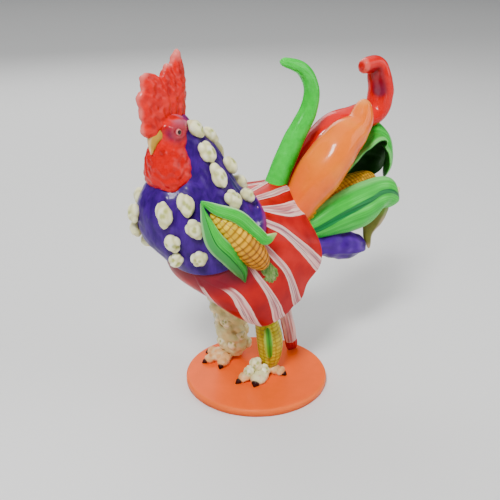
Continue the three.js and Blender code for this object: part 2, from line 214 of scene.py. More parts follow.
def limb(path, wide, deep=None, face=SIDEWAYS, rows=80, sides=48, blunt=8, cup=0, relief=None):
    """Tapering form along a smooth path, with its t and angle. relief scales the section at each of them."""
    deep = wide if deep is None else deep
    angle = turns(sides)
    t = 0.5 - 0.5 * np.cos(math.pi * np.linspace(0, 1, rows + 1)[:, None])
    round_end = np.sqrt(np.maximum(0, 1 - np.abs(2 * t - 1) ** blunt))
    across, out = path_frame(path, t, face)
    scale = round_end * (1 if relief is None else relief(t, angle))
    width = along(wide, t) * scale * np.cos(angle)
    depth = along(deep, t) * scale * np.sin(angle) + cup * round_end * np.cos(angle) ** 2
    points = curve(path, t[:, 0])[:, None, :] + across * width[..., None] + out * depth[..., None]
    return points, t + 0 * angle, angle + 0 * t


def lobed(centre, axes, lobes, rows=28, sides=40):
    """A lump made up of balls: axes are its three half sizes as vectors, lobes a list of (x, y, z, radius).

    Gives the points, and how deep each lies in a crease between balls, from 0 to 1.
    """
    rays, _ = sphere(rows, sides)
    reaches = []
    for x, y, z, radius in lobes:
        ball = np.array([x, y, z])
        ahead = rays @ ball
        reaches.append(ahead + np.sqrt(np.maximum(radius ** 2 - ball @ ball + ahead ** 2, 0.01)))
    second, reach = np.sort(np.array(reaches), axis=0)[-2:]
    crease = 1 - smooth_step(0, 0.16, reach - second)
    reach = reach - 0.05 * crease
    return np.asarray(centre) + (rays * reach[..., None]) @ np.array(axes), crease


# Objects

def colour_points(mesh, key, colours):
    layer = mesh.attributes.new(key, "FLOAT_COLOR", "POINT")
    full = np.hstack([colours, np.ones((len(colours), 1))])
    layer.data.foreach_set("color", full.astype(np.float32).ravel())


def quads_of(rows, sides):
    """Corner numbers of a closed surface: single points at both ends and rings of sides between them."""
    ring = np.arange(sides)
    after = (ring + 1) % sides
    last = 1 + (rows - 2) * sides
    start = 1 + sides * np.arange(rows - 2)[:, None]
    body = np.stack([start + ring, start + sides + ring, start + sides + after, start + after], axis=-1)
    return np.concatenate([
        np.stack([0 * ring, 1 + ring, 1 + after, 1 + after], axis=1),
        body.reshape(-1, 4),
        np.stack([last + ring, 0 * ring + last + sides, last + after, last + after], axis=1),
    ])


def build(name, surfaces, material, replaces="rooster"):
    """Makes one object from closed surfaces, each (points, {attribute: values}).

    Points are in drawn millimetres for the rooster and in the frame's for the disc.
    """
    all_points, all_faces, values = [], [], {}
    start = 0
    for points, attributes in surfaces:
        verts = np.vstack([points[0, :1], points[1:-1].reshape(-1, 3), points[-1, :1]])
        corner = quads_of(len(points) - 1, points.shape[1])
        a, b, c = (verts[corner[:, k]] for k in range(3))
        if np.sum(np.cross(a, b) * c) < 0:
            corner = corner[:, ::-1]
        all_points.append(verts)
        all_faces.append(corner + start)
        for key, grid in attributes.items():
            grid = np.atleast_3d(grid)
            body = grid[1:-1].reshape(-1, grid.shape[2])
            values.setdefault(key, []).append(np.vstack([grid[0].mean(axis=0), body, grid[-1].mean(axis=0)]))
        start += len(verts)
    points = np.vstack(all_points)
    placed = (points * SHARE + FIGURE_PLACE if replaces == "rooster" else points) * MM
    faces = [tuple(dict.fromkeys(face)) for face in np.concatenate(all_faces).tolist()]
    mesh = bpy.data.meshes.new(name)
    mesh.from_pydata(placed.tolist(), [], faces)
    mesh.polygons.foreach_set("use_smooth", [True] * len(mesh.polygons))
    for key, parts in values.items():
        flat = np.concatenate(parts)
        if flat.shape[-1] == 3:
            colour_points(mesh, key, flat)
        else:
            layer = mesh.attributes.new(key, "FLOAT", "POINT")
            layer.data.foreach_set("value", flat.astype(np.float32).ravel())
    mesh.materials.append(material)
    mesh.update()
    piece = bpy.data.objects.new(name, mesh)
    bpy.context.scene.collection.objects.link(piece)
    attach(piece, "root")
    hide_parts(replaces)
    return piece


def painted(name, slot, surfaces, replaces="rooster", **finish):
    """Makes one object from closed surfaces that carry their colours, each (points, colours)."""
    surfaces = [(points, {"paint": colours}) for points, colours in surfaces]
    build(name, surfaces, shaded_material(name + "_paint", **finish), replaces)


# Materials

COAT_ROUGHNESS = 0.05
SPECULAR = 0.12


class Paint:
    """A glossy painted surface: a node tree with short names for the nodes it needs."""

    def __init__(self, name, roughness=0.3, coat=0.1):
        self.material = bpy.data.materials.new(name)
        self.material.use_nodes = True
        self.tree = self.material.node_tree
        self.shader = self.tree.nodes["Principled BSDF"]
        self.shader.inputs["Roughness"].default_value = roughness
        self.shader.inputs["Coat Weight"].default_value = coat
        self.shader.inputs["Coat Roughness"].default_value = COAT_ROUGHNESS
        self.shader.inputs["Specular IOR Level"].default_value = SPECULAR
        self.place = self.tree.nodes.new("ShaderNodeTexCoord").outputs["Object"]

    def put(self, socket, value):
        if isinstance(value, bpy.types.NodeSocket):
            self.tree.links.new(value, socket)
            return
        if hasattr(value, "__len__") and len(value) == 3 and socket.type == "RGBA":
            value = (*value, 1)
        socket.default_value = value

    def node(self, kind, output=0, settings=None, **inputs):
        """One output of a new node. Inputs go by their names, or by an i and their number."""
        made = self.tree.nodes.new(kind)
        for key, value in (settings or {}).items():
            setattr(made, key, value)
        for key, value in inputs.items():
            index = int(key[1:]) if key[0] == "i" and key[1:].isdigit() else key
            self.put(made.inputs[index], value)
        return made.outputs[output]

    def value(self, name):
        return self.node("ShaderNodeAttribute", "Fac", {"attribute_name": name})

    def colour(self, name):
        return self.node("ShaderNodeAttribute", "Color", {"attribute_name": name})

    def noise(self, size, detail=3.0, roughness=0.55, stretch=(1, 1, 1), distortion=0.0):
        """Soft noise with features of the given size in millimetres."""
        place = self.node("ShaderNodeMapping", Vector=self.place, Scale=stretch)
        return self.node("ShaderNodeTexNoise", Vector=place, Scale=1 / (size * MM), Detail=detail,
                         Roughness=roughness, Distortion=distortion)

    def math(self, operation, a, b=0.0):
        return self.node("ShaderNodeMath", 0, {"operation": operation}, i0=a, i1=b)

    def plus(self, a, b):
        return self.math("ADD", a, b)

    def minus(self, a, b):
        return self.math("SUBTRACT", a, b)

    def times(self, a, b):
        return self.math("MULTIPLY", a, b)

    def spread(self, x, low, high, at_low, at_high, **settings):
        """A number that goes from at_low to at_high while x goes from low to high."""
        return self.node("ShaderNodeMapRange", 0, settings, i0=x, i1=low, i2=high, i3=at_low, i4=at_high)

    def step(self, x, low, high):
        """0 below low and 1 above high, smooth between them."""
        return self.spread(x, low, high, 0.0, 1.0, interpolation_type="SMOOTHSTEP")

    def mix(self, share, a, b):
        made = self.tree.nodes.new("ShaderNodeMix")
        made.data_type = "RGBA"
        for index, value in ((0, share), (6, a), (7, b)):
            self.put(made.inputs[index], value)
        return made.outputs[2]

    def ramp(self, share, stops):
        made = self.tree.nodes.new("ShaderNodeValToRGB")
        elements = made.color_ramp.elements
        while len(elements) < len(stops):
            elements.new(0.5)
        for element, (position, colour) in zip(elements, stops):
            element.position = position
            element.color = (*colour, 1)
        self.put(made.inputs[0], share)
        return made.outputs[0]

    def bump(self, height, depth, strength=1.0, over=None):
        """Bump of the given depth in millimetres."""
        made = self.tree.nodes.new("ShaderNodeBump")
        made.inputs["Strength"].default_value = strength
        made.inputs["Distance"].default_value = depth * MM
        self.put(made.inputs["Height"], height)
        if over is not None:
            self.put(made.inputs["Normal"], over)
        return made.outputs[0]

    def brushed(self, depth=0.25, size=2.2):
        """The slight unevenness of hand-applied paint over a casting, as a normal."""
        broad = self.bump(self.noise(size * 3, 2), depth * 1.5, 0.5)
        return self.bump(self.noise(size * 0.45, 3), depth * 0.35, 0.5, broad)

    def finish(self, colour, normal, roughness=None):
        self.put(self.shader.inputs["Base Color"], colour)
        self.put(self.shader.inputs["Normal"], normal)
        if roughness is not None:
            self.put(self.shader.inputs["Roughness"], roughness)
        return self.material


# Paint colours, full in tone as the photograph's are
RED = (0.72, 0.002, 0.002)
RED_DARK = (0.42, 0.001, 0.002)
RED_LIGHT = (0.86, 0.020, 0.015)
RED_PALE = (0.90, 0.26, 0.22)
SKIRT_RED = (0.50, 0.002, 0.002)
SKIRT_DARK = (0.34, 0.002, 0.004)
SKIRT_LIGHT = (0.60, 0.012, 0.008)
# Painted shade laid over the skirt's red and over its inner lining
SKIRT_PAINTED_SHADE = (0.13, 0.008, 0.022)
STRIPE_PALE = (0.90, 0.62, 0.56)
STRIPE_PINK = (0.80, 0.40, 0.37)
STRIPE_DEEP = (0.58, 0.20, 0.20)
STRIPE_LINE = (0.26, 0.085, 0.13)
PURPLE = (0.040, 0.004, 0.165)
PURPLE_DARK = (0.014, 0.001, 0.070)
PURPLE_BLUSH = (0.26, 0.018, 0.140)
GREEN = (0.020, 0.560, 0.035)
GREEN_RIB = (0.002, 0.110, 0.022)
GREEN_PALE = (0.420, 0.800, 0.330)
CHILI_GREEN = (0.015, 0.660, 0.040)
BROWN = (0.200, 0.050, 0.004)
CREAM = (0.800, 0.700, 0.400)
ORANGE = (0.980, 0.140, 0.000)
ORANGE_DARK = (0.920, 0.105, 0.000)
ORANGE_LIGHT = (1.000, 0.200, 0.002)
ORANGE_PAINTED_LIGHT = (1.000, 0.270, 0.004)
DISC_ORANGE = (0.960, 0.115, 0.003)


def plain_paint(name, dark, base, light, size=7.0, stretch=(1, 1, 1), gloss=(0.24, 0.36), **finish):
    """One paint colour, uneven as brushed paint is."""
    paint = Paint(name, **finish)
    broad = paint.noise(size, 4, 0.6, stretch, 0.4)
    fine = paint.noise(size * 0.2, 3, 0.6, stretch)
    mixed = paint.plus(paint.times(broad, 0.7), paint.times(fine, 0.3))
    colour = paint.ramp(mixed, [(0.36, dark), (0.5, base), (0.66, light)])
    return paint.finish(colour, paint.brushed(), paint.spread(fine, 0.3, 0.7, *gloss))


def shaded_material(name, roughness=0.3, coat=0.1, vary=0.1, size=4.0, depth=0.2):
    """Paint whose colour is carried by the piece, with brushed unevenness."""
    paint = Paint(name, roughness, coat)
    base = paint.colour("paint")
    bright = paint.spread(paint.noise(size, 4, 0.6), 0.25, 0.75, 1 - vary, 1 + vary)
    colour = paint.node("ShaderNodeVectorMath", 0, {"operation": "SCALE"}, i0=base, Scale=bright)
    return paint.finish(colour, paint.brushed(depth, 1.8))


def stripe_material():
    """Red with pale pink stripes that carry fine mauve lines along their length, and painted shade that
    darkens the red and fades the stripes.
    """
    paint = Paint("striped_paint", roughness=0.32)
    edge, strand, down, painted_shade = (paint.value(key) for key in ("edge", "strand", "down", "painted_shade"))
    edge = paint.plus(edge, paint.times(paint.minus(paint.noise(4, 2), 0.5), 0.16))
    white = paint.times(paint.step(edge, 1.03, 0.95), paint.step(painted_shade, 0.85, 0.45))

    def fibres(across, lengthways):
        place = paint.node("ShaderNodeCombineXYZ", i0=paint.times(strand, across),
                           i1=paint.times(down, lengthways), i2=0.5)
        return paint.node("ShaderNodeTexNoise", Vector=place, Scale=1.0, Detail=1.0, Roughness=0.5)

    broad, fine = fibres(3.2, 1.6), fibres(7.5, 2.0)
    tint = paint.ramp(broad, [(0.38, STRIPE_DEEP), (0.50, STRIPE_PINK), (0.60, STRIPE_PALE)])
    rim = paint.step(edge, 0.55, 0.85)
    line = paint.times(paint.step(fine, 0.53, 0.60), paint.minus(1.0, rim))
    tint = paint.mix(paint.times(rim, 0.8), tint, STRIPE_PALE)
    stripe = paint.mix(paint.times(line, 0.8), tint, STRIPE_LINE)
    red = paint.ramp(paint.noise(12, 3, 0.5), [(0.33, SKIRT_DARK), (0.5, SKIRT_RED), (0.7, SKIRT_LIGHT)])
    # Painted shade darkens the red here
    red = paint.mix(paint.times(painted_shade, 0.8), red, SKIRT_PAINTED_SHADE)
    height = paint.times(white, paint.minus(1.0, line))
    return paint.finish(paint.mix(white, red, stripe), paint.bump(height, 0.12, 0.7, paint.brushed(0.12)))


def cape_material():
    """Deep purple with faint lighter strokes."""
    paint = Paint("purple_paint")
    strokes = paint.noise(7, 4, 0.6, (1.6, 1.6, 0.6), 0.5)
    stops = [(0.32, (0.022, 0.002, 0.105)), (0.48, PURPLE), (0.66, (0.062, 0.009, 0.235))]
    colour = paint.mix(paint.value("blush"), paint.ramp(strokes, stops), PURPLE_BLUSH)
    return paint.finish(colour, paint.brushed(0.22, 3.0))


def blend(base, *layers):
    """Colour grid: base, then each (share, colour) laid over it."""
    colour = np.broadcast_to(np.array(base, float), layers[0][0].shape + (3,)).copy()
    for share, top in layers:
        share = np.clip(share, 0, 1)[..., None]
        colour = colour * (1 - share) + np.array(top, float) * share
    return colour


# Body surfaces

CAPE_EDGE = [
    (-3, 0, 104.5), (-4, -11, 104), (-5, -19, 102.2), (-5.8, -25.5, 99), (-7.2, -29, 92), (-13, -30, 85),
    (-21, -29.5, 79), (-29, -27, 75), (-37, -22.5, 73.3), (-43, -13, 73), (-47, 0, 75.5),
]
HEM = [
    (17.7, 0, 107.4), (18.8, -9, 104), (22.5, -17, 94), (29, -26.5, 70.5), (20.9, -28, 60), (15.5, -28, 50),
    (8, -27.5, 43.5), (-1.5, -26, 38), (-12, -22, 39.5), (-21.5, -13, 51), (-27, 0, 53.8),
]
BREAST_CENTRE = np.array([-22.0, 0, 88])
MOUTH_CENTRE = np.array([3.0, 0, 72])
SKIRT_ROOT = np.array([-32.0, 0, 92])
NECK_TOP = np.array([-42.0, 0, 147])
SKIRT_BULGE = 3.0
SKIRT_FRONT_BULGE = 5.0
BREAST_RINGS = [
    [(-35, 0, 147), (-41, -6, 145.5), (-47, 0, 144)],
    [(-30, 0, 141), (-39, -8.5, 138), (-48, 0, 136)],
    [(-20.5, 0, 131), (-33, -11.5, 128), (-48, 0, 127)],
    [(-14, 0, 121), (-31, -15.5, 118), (-52, 0, 118)],
    [(-9.5, 0, 111), (-29, -22.5, 107), (-58.5, 0, 108.5)],
    [(-4.5, 0, 107), (-24, -27.5, 96), (-60.5, 0, 98)],
    [(-3, 0, 106), (-18, -29.8, 86), (-57.5, 0, 85.5)],
]


def loop(half, angle):
    """Closed loop over a half list of points and its mirror image. Angle 0 is the back's middle line."""
    mirror = [(x, -y, z) for x, y, z in half[-2:0:-1]]
    return curve(half + mirror, np.asarray(angle) / (2 * math.pi), closed=True)


def inside(t, angle, depth):
    """Places at a depth below the skirt's outer surface: t is 0 at the cape's edge and 1 at the hem."""
    t, angle, depth = np.broadcast_arrays(*(np.asarray(values, float) for values in (t, angle, depth)))
    share = t[..., None]
    chord = loop(CAPE_EDGE, angle) * (1 - share) + loop(HEM, angle) * share
    axis = BREAST_CENTRE * (1 - share) + MOUTH_CENTRE * share
    front = (0.5 - 0.5 * np.cos(angle)) ** 4
    bulge = SKIRT_BULGE * np.sin(angle) ** 2 + SKIRT_FRONT_BULGE * front
    surface = chord + unit(chord - axis) * (bulge * np.sin(math.pi * t))[..., None]
    return surface + unit(axis - surface) * depth[..., None]


def breast_at(t, angle):
    """Outer surface of the neck and breast: t is 0 at the head and 1 at the cape's edge."""
    t, angle = np.broadcast_arrays(np.asarray(t, float), np.asarray(angle, float))
    forward = np.cos(angle)[..., None]
    rings = []
    for back, flank, front in np.array(BREAST_RINGS, float):
        centre = np.array([flank[0], 0, flank[2]])
        ring = centre + (np.where(forward > 0, back, front) - centre) * np.abs(forward)
        ring[..., 1] = flank[1] * np.sin(angle)
        rings.append(ring)
    edge = loop(CAPE_EDGE, angle)
    rings = np.array(rings + [edge + unit(edge - BREAST_CENTRE) * CAPE_STEP])
    i, f = entries(t, len(rings))

    def ring_at(step):
        which = np.clip(i + step, 0, len(rings) - 1)[None, ..., None]
        return np.take_along_axis(rings, np.broadcast_to(which, (1,) + rings.shape[1:]), 0)[0]

    return eased(ring_at(-1), ring_at(0), ring_at(1), ring_at(2), f[..., None])


# Stripes down one flank: angle of the middle line and half width, in quarters from cape to hem.
STRIPES = [
    ((0.14, 0.09, 0.03, -0.03, -0.09), (0.045, 0.045, 0.045, 0.045, 0.045)),
    ((0.41, 0.38, 0.35, 0.31, 0.28), (0.075, 0.070, 0.065, 0.060, 0.055)),
    ((0.74, 0.70, 0.66, 0.61, 0.57), (0.070, 0.075, 0.080, 0.085, 0.085)),
    ((1.07, 1.01, 1.03, 1.04, 1.05), (0.070, 0.078, 0.080, 0.087, 0.090)),
    ((1.44, 1.45, 1.46, 1.55, 1.65), (0.050, 0.050, 0.055, 0.073, 0.088)),
    ((1.80, 1.83, 1.86, 1.93, 2.03), (0.030, 0.040, 0.052, 0.080, 0.100)),
    ((2.60, 2.28, 2.27, 2.34, 2.42), (0.110, 0.075, 0.088, 0.095, 0.100)),
    ((2.66, 2.67, 2.68, 2.70, 2.72), (0.020, 0.030, 0.045, 0.050, 0.050)),
]


def stripe_place(t, angle):
    """Distance from the nearest stripe's middle line, 1 at its edge, and which stripe that is."""
    turn = np.where(angle > math.pi, 2 * math.pi - angle, angle)
    nearest = np.full(np.broadcast(t, angle).shape, 9.0)
    which = np.zeros(nearest.shape)
    for index, (middle, half) in enumerate(STRIPES):
        place = (turn - along(middle, np.clip(t, 0, 1))) / along(half, np.clip(t, 0, 1))
        closer = np.abs(place) < np.abs(nearest)
        nearest = np.where(closer, place, nearest)
        which = np.where(closer, index, which)
    return nearest, which


def make_skirt():
    sides = 560
    angle = turns(sides)[0]
    rings = [(-0.03, 18.0), (-0.02, 9.0), (-0.01, 4.0)]
    rings += [(t, 0.7 * (1 - smooth_step(0.0, 0.05, t))) for t in np.linspace(0, 1, 76)]
    rings += [(1 + 0.012 * math.sin(a), SKIRT_THICKNESS * (1 - math.cos(a)) / 2)
              for a in np.linspace(0.3, math.pi, 7)]
    outside = len(rings)
    rings += [(0.9, SKIRT_THICKNESS * 1.2), (0.66, 2 * SKIRT_THICKNESS)]
    rows = [np.broadcast_to(SKIRT_ROOT, (sides, 3))]
    for t, depth in rings:
        stripe, _ = stripe_place(np.full(sides, t), angle)
        raised = 0.3 * smooth_step(1.15, 0.8, np.abs(stripe)) * smooth_step(0.02, 0.15, t)
        wave = 0.35 * smooth_step(0.6, 1.0, t) * np.sin(17 * angle + 0.6)
        rows.append(inside(t, angle, depth - raised - wave))
    rows.append(inside(0.5, angle, 3 * SKIRT_THICKNESS) * 0.55 + MOUTH_CENTRE * 0.45)
    rows.append(np.broadcast_to(MOUTH_CENTRE, (sides, 3)))
    t_grid = np.array([0.0, *(t for t, _ in rings), 0.9, 0.9])[:, None] + 0 * angle
    stripe, which = stripe_place(t_grid, angle + 0 * t_grid)
    lining = np.arange(len(rows))[:, None] > outside
    turn = np.minimum(angle, 2 * math.pi - angle)
    # Painted shade: under the breast at the front, low on the front of the skirt, and over all of its lining.
    front = smooth_step(1.35, 2.1, turn) * smooth_step(0.42, 0.12, t_grid)
    below = 0.35 * smooth_step(1.0, 2.0, turn) * smooth_step(0.35, 0.9, t_grid)
    attributes = {
        "edge": np.where(lining, 4.0, np.clip(np.abs(stripe), 0, 4)),
        "strand": np.clip(stripe, -2, 2) + 7 * which,
        "down": t_grid,
        "painted_shade": np.where(lining, 1.0, np.maximum(front, below)),
    }
    build("skirt", [(np.array(rows), attributes)], stripe_material())


BELLY_CENTRE = np.array([0.0, 0, 72])
BELLY_RADII = np.array([21.0, 22, 22])


def make_belly():
    # The belly is painted a near black red: painted shade for the hollow under the skirt.
    points = BELLY_CENTRE + sphere(40, 64)[0] * BELLY_RADII
    points = pushed(points, 0.5 * ripple(points, 9, 5))
    paint = plain_paint("belly_shade_paint", (0.12, 0.003, 0.005), (0.20, 0.004, 0.005), (0.30, 0.006, 0.006))
    build("belly", [(points, {})], paint)


def make_breast():
    sides = 220
    angle = turns(sides)
    t = np.linspace(0, 1, 130)[:, None]
    rows = [np.broadcast_to(NECK_TOP, (1, sides, 3)), breast_at(t, angle)]
    rows += [inside(0, angle, -CAPE_STEP * math.cos(a)) - [0, 0, 0.5 * math.sin(a)] for a in (0.5, 1.0, 1.4)]
    rows += [inside(0, angle, 11.0), np.broadcast_to(BREAST_CENTRE, (1, sides, 3))]
    grid = np.concatenate(rows)
    t_grid = np.concatenate([[0], t[:, 0], [1] * (len(grid) - len(t) - 1)])[:, None] + 0 * angle
    fade = plateau(0, 0.05, 0.93, 1.0, t_grid)
    grid = pushed(grid, fade * (0.3 * ripple(grid, 16, 11) + 0.10 * ripple(grid, 4.5, 12)))
    turn = np.minimum(angle, 2 * math.pi - angle)
    shoulder = smooth_step(0.93, 0.985, t_grid) * smooth_step(1.7, 1.2, turn)
    blush = 0.75 * smooth_step(0.16, 0.02, t_grid) + 0.85 * shoulder
    build("cape", [(grid, {"blush": blush})], cape_material())


# Popcorn over the neck and breast: place down the surface, angle round it, length.
POPCORN = [
    (0.15, 0.80, 1.2), (0.28, 1.20, 1.3), (0.44, 1.24, 1.5), (0.59, 1.15, 1.1), (0.66, 0.68, 0.9),
    (0.24, 0.15, 1.2), (0.43, 0.50, 1.2), (0.60, 0.20, 1.0), (0.57, 2.08, 1.4), (0.63, 2.46, 1.5),
    (0.71, 2.06, 1.1), (0.80, 2.42, 1.1), (0.90, 2.58, 0.8), (0.89, 2.22, 0.9), (0.69, -3.05, 1.2),
    (0.64, -2.45, 1.1), (0.80, -2.90, 1.0), (0.20, -0.70, 1.2), (0.37, -0.35, 1.3), (0.36, -1.25, 1.3),
    (0.53, -0.85, 1.3), (0.56, -1.90, 1.3), (0.72, -2.10, 1.1), (0.84, -2.40, 1.0), (0.90, -2.72, 0.9),
]
POPCORN_WHITE = (0.96, 0.94, 0.56)
POPCORN_BRIGHT = (1.00, 1.00, 0.86)
POPCORN_CREASE_SHADE = (0.50, 0.46, 0.12)
POPCORN_HULL = (0.36, 0.40, 0.05)
POPCORN_FINISH = {"roughness": 0.28, "vary": 0.06, "size": 2.4, "depth": 0.08}


def popped_lobes(seed):
    """Balls of one popped kernel, in shares of its radius: z is outwards, y runs down its length."""
    rng = np.random.default_rng(seed)
    count = 3 + seed % 3
    turn = rng.uniform(0, 2 * math.pi)
    lobes = [(rng.uniform(-0.1, 0.1), rng.uniform(-0.12, 0.12), 0.1, 0.84)]
    for i in range(count):
        angle = turn + 2 * math.pi * i / count + rng.uniform(-0.3, 0.3)
        reach = rng.uniform(0.26, 0.38)
        lobes.append((reach * math.cos(angle), reach * math.sin(angle),
                      rng.uniform(-0.05, 0.12), rng.uniform(0.60, 0.72)))
    return lobes


def popped_kernel(centre, out, down, round_, radius, length, seed):
    """Points and colours of one piece of popcorn, with painted shade in the creases between its lobes and
    underneath, and a few dark dimples.
    """
    axes = np.array([round_ * radius * 0.92, down * radius * length, out * radius * 0.8])
    points, crease = lobed(centre, axes, popped_lobes(seed))
    local = (points - centre) @ np.array([round_, down, out]).T / radius
    rng = np.random.default_rng(seed + 900)
    hull = np.zeros(crease.shape)
    for _ in range(3):
        spot = rng.uniform(-0.45, 0.45, 2)
        far = np.hypot(local[..., 0] - spot[0], (local[..., 1] - spot[1]) / length)
        hull = np.maximum(hull, smooth_step(0.30, 0.08, far) * (local[..., 2] > 0))
    points = pushed(points, 0.07 * ripple(points, 2.4, seed + 50) - 0.30 * hull)
    # Painted shade: olive in the creases and on the side turned in towards the body.
    low = smooth_step(0.1, -0.4, local[..., 2])
    return points, blend(POPCORN_WHITE, (0.7 * patches(points, 5, seed + 7, 0.1), POPCORN_BRIGHT),
                         (0.55 * crease, POPCORN_CREASE_SHADE), (0.80 * hull, POPCORN_HULL),
                         (0.5 * low, POPCORN_CREASE_SHADE))


def make_popcorn():
    lumps = []
    for index, (t, angle, length) in enumerate(POPCORN):
        here = breast_at(t, angle)
        down = unit(breast_at(min(t + 0.02, 1), angle) - here)
        round_ = unit(breast_at(t, angle + 0.02) - here)
        out = unit(np.cross(down, round_))
        if out @ (here - BREAST_CENTRE) < 0:
            out = -out
        round_ = np.cross(down, out)
        centre = here + out * POPCORN_STAND_OFF
        lumps.append(popped_kernel(centre, out, down, round_, POPCORN_RADIUS, length, index + 1))
    painted("popcorn", "popcorn_white", lumps, **POPCORN_FINISH)


# Head, drawn straight ahead with x forwards and y to the bird's left, then turned a little

HEAD_PLACE = np.array([-43.0, -2.5, 0])
HEAD_COS, HEAD_SIN = math.cos(math.pi + HEAD_TURN), math.sin(math.pi + HEAD_TURN)
HEAD_AXES = np.array([[HEAD_COS, HEAD_SIN, 0], [-HEAD_SIN, HEAD_COS, 0], [0, 0, 1]])
COMB_FINISH = {"roughness": 0.24, "coat": 0.2, "vary": 0.08, "size": 6, "depth": 0.1}


def turned(points):
    return points @ HEAD_AXES + HEAD_PLACE


FACE_HEIGHTS = [111, 112.4, 115.5, 120.5, 127, 134, 140, 145, 149.5]
FACE_RADII = [0, 0.74, 0.98, 1, 0.9, 0.74, 0.72, 0.62, 0]
FACE_CENTRES = [0.5, 0.8, 1.2, 1.8, 2, 1.4, 0.8, 0, -0.6]
WATTLE_CLEFT = 0.22
EYE = np.array([2.6, 8.2, 141])


def make_face():
    t = np.linspace(0, 1, 121)[:, None]
    angle = turns(128)
    hang = np.maximum(0, 1 - t / 0.6)
    cleft = 1 - WATTLE_CLEFT * hang * np.maximum(0, np.cos(angle)) ** 12
    radius = np.maximum(0, along(FACE_RADII, t)) * HEAD_RADIUS * cleft
    points = np.stack([along(FACE_CENTRES, t) + radius * np.cos(angle), radius * np.sin(angle),
                       along(FACE_HEIGHTS, t) + 0 * angle], axis=-1)
    soft = plateau(0, 0.06, 0.9, 1, t)
    folds = 0.35 * np.sin(7 * angle + 1.5 * np.sin(5 * t)) * smooth_step(0.62, 0.3, t)
    points = pushed(points, soft * (folds + 0.3 * ripple(points, 9, 21) + 0.22 * ripple(points, 4.4, 22)))
    eye_near = np.min([np.linalg.norm(points - EYE * [1, y, 1], axis=-1) for y in (1, -1)], axis=0)
    points = pushed(points, 0.5 * bell(eye_near, 2.9, 0.9) * soft)
    forward, side, height = points[..., 0], np.abs(points[..., 1]), points[..., 2]
    light, deep = patches(points, 8, 23, 0.3, 1.4), patches(points, 7, 24, 0.5, 1.6)
    top = smooth_step(141, 145, height) * smooth_step(5.0, 2.0, forward) * patches(points, 6, 26, -0.9, 0.6)
    lores = bell(forward, 6.2, 2.0) * bell(height, 140.2, 2.6) * smooth_step(2.5, 5.5, side)
    back = smooth_step(0.5, -5.0, forward) * smooth_step(113, 128, height)
    socket, ring = smooth_step(6.5, 3.5, eye_near), bell(eye_near, 2.7, 1.3)
    wattle, low_rim_highlight = smooth_step(136, 129, height), smooth_step(114.5, 112.5, height)
    # Painted highlight: the wattles' lower rim is paler.
    paint = blend(RED, (0.6 * light, RED_LIGHT), (0.3 * wattle, RED_DARK), (0.7 * deep, RED_DARK),
                  (0.8 * back, (0.26, 0.02, 0.16)), (0.8 * top, (0.52, 0.15, 0.22)),
                  (0.6 * socket, (0.30, 0.012, 0.05)), (0.95 * lores, (0.14, 0.012, 0.05)),
                  (0.5 * low_rim_highlight, RED_PALE), (0.6 * ring, (0.42, 0.045, 0.06)))
    painted("face", "comb_red", [(turned(points), paint)], **COMB_FINISH)


# Lobes of the comb: root and tip as x and z, half widths, and how far the painted highlight on the tip
# reaches.
COMB_LOBES = [
    ((-2.4, 142), (-5.8, 177), (6.5, 6.4, 4.9, 3.0), 7.5),
    ((0, 146), (0.9, 171.2), (7, 7.4, 5.6, 2.9), 3.6),
    ((0, 148), (14.8, 168), (7, 8.4, 6.4, 3.8), 3.6),
    ((1, 147), (18.6, 159.4), (7, 8.4, 6.2, 3.8), 3.6),
    ((2, 148), (18.4, 150.6), (7, 7.6, 6, 4), 3.6),
    ((2, 144.5), (17.8, 142.6), (6, 6, 5, 4), 3.2),
]


def melted(piece, voxel, smoothing):
    """Turns overlapping parts of a piece into one skin and softens where they meet."""
    remesh = piece.modifiers.new("melt", "REMESH")
    remesh.mode = "VOXEL"
    remesh.voxel_size = voxel * MM
    soften = piece.modifiers.new("soften", "SMOOTH")
    soften.iterations = smoothing
    soften.factor = 0.5
    old = piece.data
    mesh = bpy.data.meshes.new_from_object(piece.evaluated_get(bpy.context.evaluated_depsgraph_get()))
    mesh.materials.clear()
    mesh.materials.append(old.materials[0])
    mesh.polygons.foreach_set("use_smooth", [True] * len(mesh.polygons))
    piece.modifiers.clear()
    piece.data = mesh
    bpy.data.meshes.remove(old)
    return mesh


def vectors(items, key):
    """One vector of each of a mesh's items, as rows."""
    rows = np.empty(len(items) * 3)
    items.foreach_get(key, rows)
    return rows.reshape(-1, 3)


